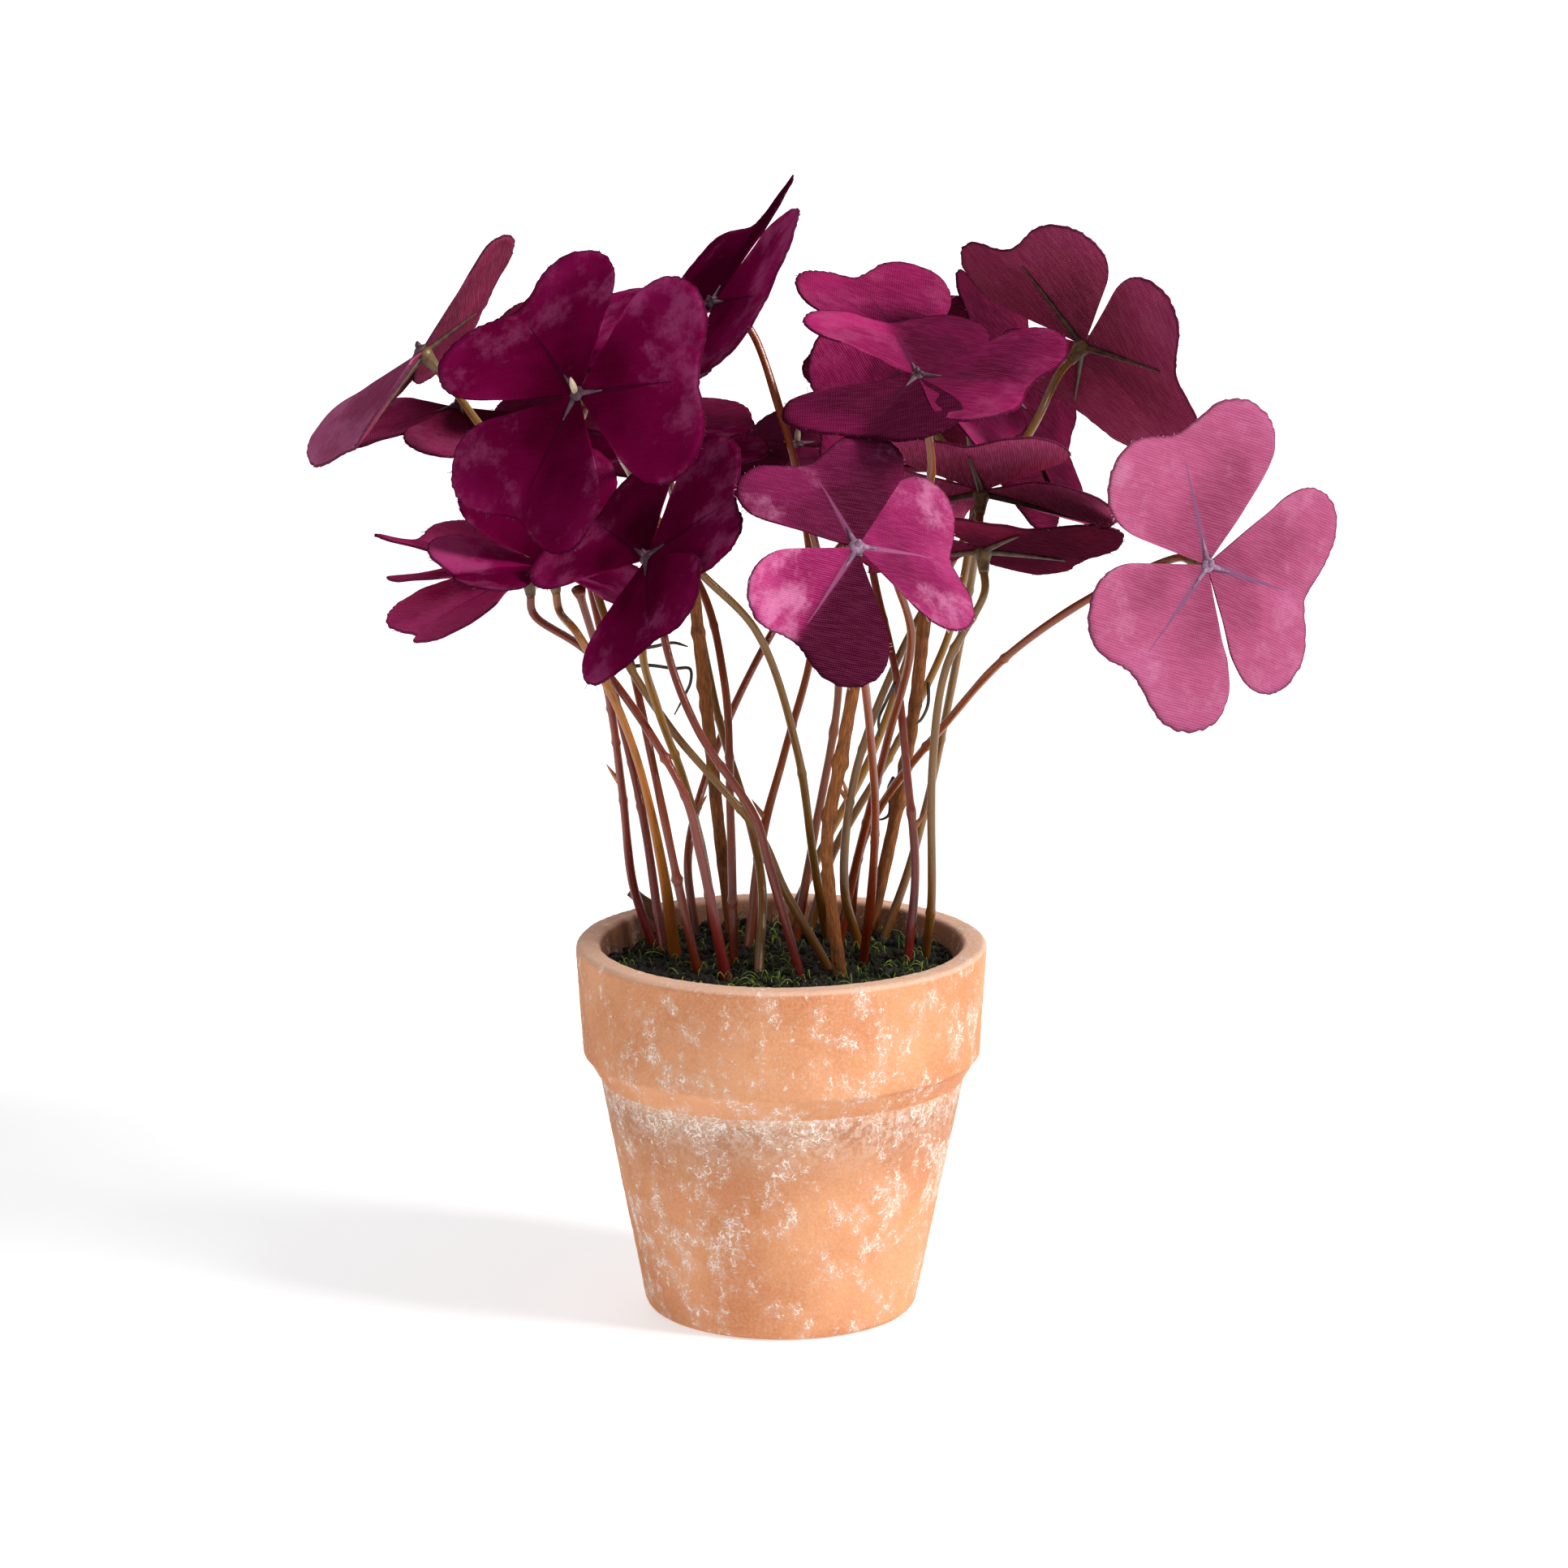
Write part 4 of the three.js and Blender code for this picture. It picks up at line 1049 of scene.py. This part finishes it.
# %% Dyes for the upper sides and the undersides
FINISHES = {
    "burgundy": dict(deep="3e0018", body="5e022e", light="7e1048", bloom="a24c7c", rib="3a0620",
                     weave=0.25, chalk=0.4),
    "pink": dict(deep="7a2c4a", body="964264", light="a25076", bloom="b87a98", rib="6e4866",
                 weave=0.45, chalk=0.4, cut="5c2440", thread_light="c07c9c"),
    "magenta": dict(deep="46001e", body="781246", light="a03468", bloom="cc84aa", rib="8c4c70",
                    weave=0.45, chalk=0.55, thread_light="bc5c8a"),
    "wine": dict(deep="3e0018", body="720a3c", light="9c1c58", bloom="b45480", rib="541c38",
                 weave=0.65, chalk=0.3, thread_light="b4447a"),
    "plum": dict(deep="300010", body="580828", light="7a1c44", bloom="9a4e76", rib="420c1e",
                 weave=0.6, chalk=0.3, thread_light="96385e"),
    "mauve": dict(deep="48142a", body="6e2844", light="8a3e5e", bloom="a8648a", rib="4e2434",
                  weave=0.45, chalk=0.4, thread_light="a0587c"),
}
UNDERSIDES = {
    "under_dark": dict(deep="2c0010", body="56081f", light="761430", bloom="a05878", rib="4a2418",
                       weave=0.6, chalk=0.1, rough=0.75, thread_light="9a3c5c"),
    "under_red": dict(deep="4e0620", body="7e1a3e", light="942854", bloom="bc7890", rib="5c2c20",
                      weave=0.75, chalk=0.1, rough=0.7, thread_light="bc6484"),
}
cloths = {key: cloth(key + " cloth", **values) for key, values in {**FINISHES, **UNDERSIDES}.items()}
print("cloths:", ", ".join(cloths))

# %% Small plain finishes
def plain(name, low, high, **sockets):
    """A finish of two close colours in soft noise, with a light bump."""
    material, tree, shader = finish(name, **sockets)
    spot = where(tree)
    tone = noise(tree, spot, 600, 4, 0.6)
    paint(tree, shader, mix(tree, fade(tree, tone, 0.35, 0.68), colour(low), colour(high)))
    relief(tree, shader, tone, 0.0001, 0.6)
    return material


fibre_dark = plain("dark fibre", "3a1020", "7c3a55", Roughness=0.8)
fibre_pale = plain("pale fibre", "a8657f", "e8c8d4", Roughness=0.8)
hub_dark = plain("dark hub", "2c1320", "5c3448", Roughness=0.5)
hub_lilac = plain("lilac hub", "5d4058", "94708a", Roughness=0.5)
hub_olive = plain("olive hub", "4c3418", "7e6438", Roughness=0.4)
spine_brown = plain("brown spine", "2e1410", "5a3822", Roughness=0.55)
hub_pale = plain("pale nub", "a08868", "cdbfa6", Roughness=0.5)
print("hub finishes ready")

# %% [markdown]
# ## Making the leaves
# Each leaf is one cloth piece, which replaces its plain solid, and one moulded hub: a socket for the stem
# underneath, three tapering spines that carry the leaflets, and a small star with the stem's tip on top.
# The hub could be one mesh joined by a Boolean, but short bars sunk into each other look the same and can't
# fail. The first table gives each leaf its two cloths. The second paints light and shade on halves of
# leaflets, making them paler or darker.

# %% Which leaf gets which cloth
LEAF_FINISH = {
    "front_left": ("burgundy", "under_dark"), "left_low_front": ("burgundy", "under_dark"),
    "far_right": ("pink", "under_red"), "front_middle": ("magenta", "under_red"),
    "right_upper": ("wine", "under_dark"), "right_inner": ("wine", "under_red"),
    "top_right": ("wine", "under_red"), "top_middle": ("burgundy", "under_dark"),
    "left_low": ("wine", "under_red"), "far_left": ("mauve", "under_red"),
    "middle_back": ("plum", "under_dark"), "left_shelf": ("burgundy", "under_dark"),
    # right_low takes the paler under_red cloth as painted light on its undersides, which lie in shade.
    "right_low": ("plum", "under_red"), "right_low_back": ("plum", "under_dark"),
    "left_middle": ("burgundy", "under_dark"), "left_top_back": ("mauve", "under_dark"),
}
print("leaves with a cloth of their own:", len(LEAF_FINISH))

# %% Painted light and shade on each half of a leaflet
# Painted light and shade: above 0 a half is painted paler, as lit, and below 0 darker, as shaded.
PALE, DARK, DARKER = 0.5, -0.5, -0.8
EVEN = [(0, 0)] * 3
PAINTED_LIGHT_AND_SHADE = {
    "front_middle": [(0.2, 0.15), (-0.2, DARK), (DARKER, 0.4)],
    "front_left": [(0.2, 0), (0, 0.1), (-0.1, 0.1)],
    "top_middle": [(0.4, 0.1), (-0.3, DARK), (-0.2, 0.3)],
    "far_left": [(0.6, 0.6), (0.1, 0), (0, 0)],
    "middle_back": [(-0.1, -0.1), (DARK, DARK), (0.8, DARK)],
    "top_right": [(0.2, 0.2), (0.2, 0.2), (0.2, 0.2)],
    "right_low_back": [(DARK, DARK), (0.3, 0.3), (DARK, 0)],
    "left_inner": [(0.4, 0.2), (0.3, 0.3), (0, 0)],
    "back_left": [(-0.3, -0.3), (-0.3, -0.3), (-0.3, -0.3)],
    "right_back": [(DARK, DARK), (DARK, -0.3), (DARK, DARK)],
    "right_inner": [(0.2, 0.3), (0, 0), (0.2, 0.2)],
    "right_upper": [(-0.2, 0), (0.4, DARK), (DARKER, DARK)],
    "left_low": [(0.8, 0.8), (0.2, 0.8), (0.9, 0.9)],
    "right_low": [(0.9, 0.3), (1, 1), (1, 1)],
    "left_low_front": [(0.1, 0.2), (0.3, -0.2), (0, 0.1)],
    "left_shelf": [(0, 0.8), (0.4, 0.9), (0, 0)],
}
print("leaves with tones:", len(PAINTED_LIGHT_AND_SHADE))

# %% The moulded hub
PALE_NUBS = ("front_left", "middle_back", "left_low")
PALE_SOCKETS = ("top_middle", "left_low_front")
LILAC_HUBS = ("far_right", "front_middle")
LONG_NUB, SHORT_NUB = 2.8, 1.2
SPINE_RINGS, STAR_RINGS = 18, 5
SOCKET_LENGTH = 4.0
SOCKET_RADII = [0.75, 0.85, 0.9, 0.98, 1.05, 1.2, 1.35, 1.45, 1.3, 0.7]
NUB_RADII = [0.4, 0.5, 0.52, 0.46, 0.32, 0.12]


def shaft(start, end, radii, sides, index):
    """A straight bar whose radius changes along it."""
    path = np.linspace(start, end, len(radii))[None]
    return bars(path, np.array(radii)[None], sides, index)


def hub_parts(leaf, name):
    """Socket, star, stem tip, and a spine under each leaflet that thins towards its end."""
    hub = np.array(leaf["hub"], float)
    up = facing(leaf)
    long = name in PALE_NUBS
    nub = LONG_NUB if long else SHORT_NUB
    tip = unit(0.7 * up + np.array([0.1, 0, 0.8]))
    parts = [
        shaft(hub - SOCKET_LENGTH * up, hub + 0.35 * up, SOCKET_RADII, 16, 0),
        shaft(hub + 0.2 * up, hub + 0.95 * up, [1.25, 1.2, 0.95, 0.5], 14, 1),
        shaft(hub + 0.6 * up, hub + 0.6 * up + nub * tip, NUB_RADII, 10, 2 if long else 1),
    ]
    reach = np.linspace(0.5, RIB_END * LEAFLET_LENGTH, SPINE_RINGS)
    thick = np.linspace(0.62, 0.14, SPINE_RINGS)
    near = reach[:STAR_RINGS]
    for k in range(3):
        below = on_leaflet(leaf, k, reach, 0 * reach, -CLOTH_THICKNESS / 2 - thick * 0.45)
        parts.append(bars(below[None], thick[None], 8, 3))
        above = on_leaflet(leaf, k, near, 0 * near, CLOTH_THICKNESS / 2 + 0.12 + 0 * near)
        parts.append(bars(above[None], np.linspace(0.55, 0.12, STAR_RINGS)[None], 8, 1))
    return parts


print("hub form ready")

# %% Make every leaf
for order, (name, leaf) in enumerate(LEAVES.items()):
    leaf["tones"] = PAINTED_LIGHT_AND_SHADE.get(name, EVEN)
    leaf["grain"] = -leaf["turn"] + 6 * math.sin(order)
    seed = 100 + 10 * order
    pieces = []
    for k in range(3):
        shell, edge = blade(leaf, k, seed + 3 * k)
        pieces += [shell, fibres(edge, np.array(leaf["hub"], float), seed + 3 * k + 1)]
    upper, under = LEAF_FINISH.get(name, ("plum", "under_dark"))
    pink = name in LILAC_HUBS
    materials = [cloths[upper], cloths[under], fibre_pale if pink else fibre_dark]
    build("cloth_" + name, pieces, materials, ["leaf_" + name])
    socket = hub_pale if name in PALE_SOCKETS else hub_olive
    finishes = [socket, hub_lilac if pink else hub_dark, hub_pale, spine_brown]
    build("hub_" + name, hub_parts(leaf, name), finishes)
print("leaves made:", len(LEAVES))

# %% [markdown]
# ## Stems, twigs and wires
# The stems are moulded in one colour and rubbed with another, and glossy. They follow the same smooth
# curves as their plain solids. A curve object with a bevel could make them, but its thickness is set point
# by point, while a bar takes it from a formula. A stem is a little thicker at the soil, has small rings where
# the mould closed, and some carry a thorn. The twigs are dry wood: rough, knotted and broken at the top.

# %% Routes of bare stems, twigs and wires
BARE_STEMS = {
    "stem_left_bare": [[-21, 12], [-23.5, 12, 65], [-25, 5, 82], [-27, -6, 101], [-31, -14, 118]],
}
TWIGS = {
    "twig_middle": [[-8, 17.5], [-9.5, 17, 69], [-11.5, 14, 90], [-14, 6, 117]],
    "twig_front": [[9, -8], [7, -13, 78], [9, -15, 91], [12, -18, 109]],
    "bark_twig": [[-18, 13.5], [-20.5, 15.5, 60], [-24, 17, 63]],
    "twig_right": [[14.5, 19], [19, 16, 80], [21, 7, 96], [22.5, 3.5, 112]],
}
TENDRILS = {
    "tendril_left": [
        [-22.9, 6, 101.9], [-20.6, 7, 101.8], [-16.9, 9, 100.9], [-14.4, 11, 100.4],
        [-14.3, 11.5, 98.3], [-15.5, 12, 95.5], [-16.9, 12, 92.8],
    ],
    "tendril_left_top": [[-22, 5, 104.9], [-20, 6, 105], [-17, 8, 105.2], [-14.7, 10, 104.2]],
    "tendril_middle": [[17.6, -1.5, 100.8], [16.2, 0, 97.3], [15.2, 2, 94.3], [15.3, 3, 91.3]],
    "tendril_right": [[23, 6, 99.3], [22.9, 5.5, 95.7], [21.7, 4, 93.6], [20.8, 3, 93.2]],
    "tendril_curl": [
        [17.7, 14.4, 82.1], [17, 17, 79.7], [17.3, 19, 76.4],
        [17, 20, 74.6], [15.8, 20.5, 73.9], [14.7, 20.5, 74.3],
    ],
}
print("routes:", len(BARE_STEMS) + len(TWIGS) + len(TENDRILS))

# %% From the soil to the socket
STEM_DEPTH = 8.0
FOOT_RISE = 2.0
FOOT_STEEPNESS = 0.95
STEM_NECK = 3.0
STEM_END = SOCKET_LENGTH - 0.4


def points_of(rows):
    """The rows of a route as points."""
    return [np.array(row, float) for row in rows]


def foot_of(route):
    """The stem's point just over the soil, and its end below, in line with it but never too slanted."""
    point = np.array([*route[0], SOIL_HEIGHT + FOOT_RISE], float)
    down = unit(point - np.array(route[1], float))
    down[2] = min(down[2], -FOOT_STEEPNESS)
    down = unit(down)
    return [point + down * (STEM_DEPTH + FOOT_RISE) / -down[2], point]


def stem_route(leaf):
    """From under the soil through the points, and straight into the socket."""
    down = -facing(leaf)
    hub = np.array(leaf["hub"], float)
    ends = [hub + down * (SOCKET_LENGTH + STEM_NECK), hub + down * STEM_END]
    return foot_of(leaf["stem"]) + points_of(leaf["stem"][1:]) + ends


print("stem ends ready")

# %% Glossy moulded stems
def stem_finish(name, low, middle, high, rough=0.22):
    """The colour changes with height, is streaked along the stem and has fine pale scuffs."""
    material, tree, shader = finish(
        name, Roughness=rough, Specular_IOR_Level=0.4, Coat_Weight=0.3, Coat_Roughness=0.05,
    )
    spot = where(tree)
    stretched = add(tree, "Mapping", {"Vector": uv(tree, "way"), "Scale": (0.09, 0.9, 1)}).outputs[0]
    streaks = noise(tree, stretched, 2.2, 5, 0.65)
    height = plus(tree, split(tree, spot)[2], times(tree, noise(tree, spot, 60, 2), 0.03))
    body = mix(tree, fade(tree, height, 0.068, 0.092), colour(low), colour(middle))
    body = mix(tree, fade(tree, height, 0.105, 0.145), body, colour(high))
    dark = mix(tree, 0.55, body, colour("2c1408"))
    body = mix(tree, fade(tree, streaks, 0.5, 0.72), body, dark)
    scuff = fade(tree, noise(tree, spot, 900, 5, 0.7), 0.66, 0.74, 0.0, 0.3)
    paint(tree, shader, mix(tree, scuff, body, colour("c8a888")))
    relief(tree, shader, plus(tree, streaks, noise(tree, spot, 700, 3)), 0.00015, 0.6)
    return material


STEM_FINISHES = {
    "crimson": stem_finish("crimson stem", "74181c", "80301c", "783216"),
    "brown": stem_finish("brown stem", "6a1e08", "803410", "8c4614"),
    "orange": stem_finish("orange stem", "7c3008", "94481a", "80340a"),
    "olive": stem_finish("olive stem", "6c4014", "845a20", "7c561c"),
    "golden": stem_finish("golden stem", "84460e", "b0681a", "8c5420", 0.4),
}
STEM_TINTS = {
    "front_left": "olive", "far_right": "orange", "front_middle": "brown", "top_right": "olive",
    "top_middle": "orange", "far_left": "olive", "left_inner": "brown", "right_upper": "brown",
    "right_inner": "crimson", "right_back": "olive", "right_low": "olive", "right_low_back": "olive",
    "middle_back": "orange", "left_low_front": "olive", "left_low": "crimson", "left_shelf": "golden",
    "left_top_back": "brown", "left_middle": "crimson", "back_middle": "brown", "back_left": "olive",
    "back_right": "olive", "back_far_left": "crimson",
}
thorn_finish = plain("thorn", "8a4a24", "c88850", Roughness=0.5)
print("stem finishes:", ", ".join(STEM_FINISHES))

# %% The stem's thickness and its thorn
STEM_RADIUS = 0.64
STEM_FOOT_RADIUS = 0.76
THICK_FEET = {"left_shelf": 1.05, "left_low": 0.95, "middle_back": 0.95}
STEM_SIDES = 16
STEM_STEP = 0.8
MOULD_RINGS = 3
MOULD_RING_WIDTH = 0.55
END_SWELL, END_SWELL_LENGTH = 0.5, 1.2
THORN_LENGTH = 3.6
THORN_RISE = math.radians(50)
THORNS = {
    "stem_left_bare": (83, 180), "stem_back_right": (74, 120), "stem_top_right": (79, 180),
    "stem_left_low_front": (78, -20), "stem_middle_back": (75, 170), "stem_right_inner": (76, 10),
}


def bell(path, middle, width):
    """1 at the middle, and less with distance along a bell curve: exp(-(distance / width) squared)."""
    return np.exp(-((np.linalg.norm(path - middle, axis=1) / width) ** 2))


def stem_radii(path, foot, seed):
    """Thicker near the soil, slowly uneven, with three small rings."""
    draw = np.random.default_rng(seed)
    high = np.clip((path[:, 2] - SOIL_HEIGHT) / 30, 0, 1)
    radii = foot + (STEM_RADIUS - foot) * high + 0.035 * ripple(path, 9, seed)
    for at in draw.uniform(0.15, 0.9, MOULD_RINGS):
        middle = path[int(at * (len(path) - 1))]
        radii = radii + draw.uniform(0.08, 0.2) * bell(path, middle, MOULD_RING_WIDTH)
    return radii


def thorn(path, height, azimuth):
    """A short spike that leaves the stem at a height, and bends up towards its tip."""
    root = path[np.argmax(path[:, 2] >= height)]
    turn = math.radians(azimuth)
    level = np.array([math.cos(turn), math.sin(turn), 0])
    t = np.linspace(0, 1, 9)[:, None]
    rise = t * math.sin(THORN_RISE) + 0.12 * t**2
    spike = root + THORN_LENGTH * (t * math.cos(THORN_RISE) * level + rise * np.array([0, 0, 1]))
    return bars(spike[None], (0.55 * (1 - t[:, 0]) ** 0.8 + 0.04)[None], 10, 1)


print("stem form ready")

# %% Make every stem
def make_stem(node, route, tint, foot, seed, open_end=False):
    """One stem with its thorn, if it has one. A stem without a leaf is swollen at its open end."""
    path = smooth_route(route, STEM_STEP)
    radii = stem_radii(path, foot, seed)
    if open_end:
        from_end = np.arange(len(path))[::-1] * STEM_STEP
        radii = radii + END_SWELL * np.exp(-((from_end / END_SWELL_LENGTH) ** 2))
    parts = [bars(path[None], radii[None], STEM_SIDES)]
    if node in THORNS:
        parts.append(thorn(path, *THORNS[node]))
    build(node + "_moulded", parts, [STEM_FINISHES[tint], thorn_finish], [node])


for order, (name, leaf) in enumerate(LEAVES.items()):
    foot = THICK_FEET.get(name, STEM_FOOT_RADIUS)
    make_stem("stem_" + name, stem_route(leaf), STEM_TINTS[name], foot, 400 + order)
for order, (name, route) in enumerate(BARE_STEMS.items()):
    points = foot_of(route) + points_of(route[1:])
    make_stem(name, points, "crimson", STEM_FOOT_RADIUS, 480 + order, open_end=True)
print("stems made:", len(LEAVES) + len(BARE_STEMS))

# %% Wood and bark finishes
def wood():
    """Long grain on the twig's own map, brown patches and dark scars."""
    material, tree, shader = finish("dry twig", Roughness=0.8, Specular_IOR_Level=0.3)
    spot = where(tree)
    stretched = add(tree, "Mapping", {"Vector": uv(tree, "way"), "Scale": (0.12, 1.1, 1)}).outputs[0]
    grain = noise(tree, stretched, 4.0, 7, 0.7)
    patches = noise(tree, spot, 240, 5, 0.65)
    body = mix(tree, fade(tree, grain, 0.38, 0.66), colour("74401c"), colour("aa6832"))
    body = mix(tree, fade(tree, patches, 0.5, 0.7), body, colour("5a3a22"))
    dark = fade(tree, noise(tree, spot, 420, 4, 0.6), 0.66, 0.72, 0.0, 0.8)
    paint(tree, shader, mix(tree, dark, body, colour("241710")))
    relief(tree, shader, grain, 0.0003, 0.8)
    return material


def bark():
    """Dark and pale brown, rough all over."""
    material, tree, shader = finish("dark bark", Roughness=0.9)
    spot = where(tree)
    tone = noise(tree, spot, 520, 6, 0.7)
    paint(tree, shader, mix(tree, tone, colour("2a1a12"), colour("8a5c3c")))
    relief(tree, shader, tone, 0.0004, 0.9)
    return material


wood_finish = wood()
bark_finish = bark()
print("wood finishes:", wood_finish.name, "and", bark_finish.name)

# %% Make every twig
TWIG_RADIUS = 1.0
TWIG_SIDES = 20
TWIG_STEP = 0.6
TWIG_KNOTS = 3
KNOT_WIDTH = 1.0
TWIG_ROUGHNESS = 0.07


def make_twig(name, route, material, seed):
    """A bar with rough sides: each point moves in or out by noise, and the bar swells at three knots."""
    draw = np.random.default_rng(seed)
    path = smooth_route(foot_of(route) + points_of(route[1:]), TWIG_STEP)
    radii = TWIG_RADIUS + 0.06 * ripple(path, 6, seed)
    for at in draw.uniform(0.3, 0.95, TWIG_KNOTS):
        knot = path[int(at * (len(path) - 1))]
        radii = radii + draw.uniform(0.15, 0.4) * bell(path, knot, KNOT_WIDTH)
    bar = bars(path[None], radii[None], TWIG_SIDES)
    middle = np.repeat(path, TWIG_SIDES, axis=0)
    out = bar["points"] - middle
    rough = 1 + TWIG_ROUGHNESS * ripple(bar["points"] * (1, 1, 0.35), 1.1, seed + 1, 40)
    bar["points"] = middle + out * rough[:, None]
    build(name + "_wood", [bar], [material], [name])


for order, (name, route) in enumerate(TWIGS.items()):
    make_twig(name, route, bark_finish if name == "bark_twig" else wood_finish, 500 + order)
print("twigs made:", len(TWIGS))

# %% Make every wire tendril
TENDRIL_STEP = 0.25
TENDRIL_SIDES = 10
TENDRIL_RADII = ([0, 0.8, 1], [0.3, 0.24, 0.1])
tendril_finish = plain("brown wire", "241a12", "4a3524", Roughness=0.5)
for name, route in TENDRILS.items():
    path = smooth_route(route, TENDRIL_STEP)
    radii = np.interp(np.linspace(0, 1, len(path)), *TENDRIL_RADII)
    wire = bars(path[None], radii[None], TENDRIL_SIDES)
    build(name + "_wire", [wire], [tendril_finish], [name])
print("tendrils made:", len(TENDRILS))

# %% [markdown]
# ## Floor and light
# The plant stood on a white table in a bright room. A shadow catcher could stand in for the table, but a
# real pale floor also throws light up under the leaves. It gives off a little light of its own, as an
# over-lit table does, so that only a faint shadow shows. A soft lamp at the upper right is the main light, a
# weak one at the left fills the dark side, and one behind keeps the background white.

# %% The floor
FLOOR_HALF = 6.0
floor_mesh = bpy.data.meshes.new("floor")
corners = [(-FLOOR_HALF, -FLOOR_HALF, 0), (FLOOR_HALF, -FLOOR_HALF, 0), (FLOOR_HALF, FLOOR_HALF, 0)]
floor_mesh.from_pydata(corners + [(-FLOOR_HALF, FLOOR_HALF, 0)], [], [(0, 1, 2, 3)])
floor = bpy.data.objects.new("floor", floor_mesh)
bpy.context.scene.collection.objects.link(floor)
floor_finish = finish(
    "white table", Base_Color=(0.68, 0.69, 0.71, 1), Roughness=0.9,
    Emission_Color=(1, 1, 1, 1), Emission_Strength=0.5,
)[0]
floor_mesh.materials.append(floor_finish)
print("floor:", 2 * FLOOR_HALF, "m wide")

# %% The lamps and the room
ROOM_LIGHT = 0.42


def lamp(name, place, size, power, tint=(1, 1, 1), at=(0, 0, 0.09)):
    """A square soft lamp that looks at a point, which is the middle of the plant by default."""
    data = bpy.data.lights.new(name, "AREA")
    data.size = size
    data.energy = power
    data.color = tint
    obj = bpy.data.objects.new(name, data)
    way = unit(np.array(at) - np.array(place))
    obj.location = place
    obj.rotation_euler = (math.acos(-way[2]), 0, math.atan2(way[1], way[0]) - math.pi / 2)
    bpy.context.scene.collection.objects.link(obj)


lamp("key lamp", (1.05, -0.45, 1.0), 0.45, 26, (1.0, 0.985, 0.96))
lamp("fill lamp", (-0.9, -1.0, 0.6), 0.9, 2.0)
lamp("background lamp", (0, 2.6, 1.6), 2.5, 70, at=(0, 3.2, 0))
world = bpy.data.worlds.new("room")
bpy.context.scene.world = world
world.use_nodes = True
background = world.node_tree.nodes["Background"]
background.inputs["Color"].default_value = (1, 1, 1, 1)
background.inputs["Strength"].default_value = ROOM_LIGHT
bpy.context.scene.view_settings.view_transform = "Standard"
print("lamps ready")
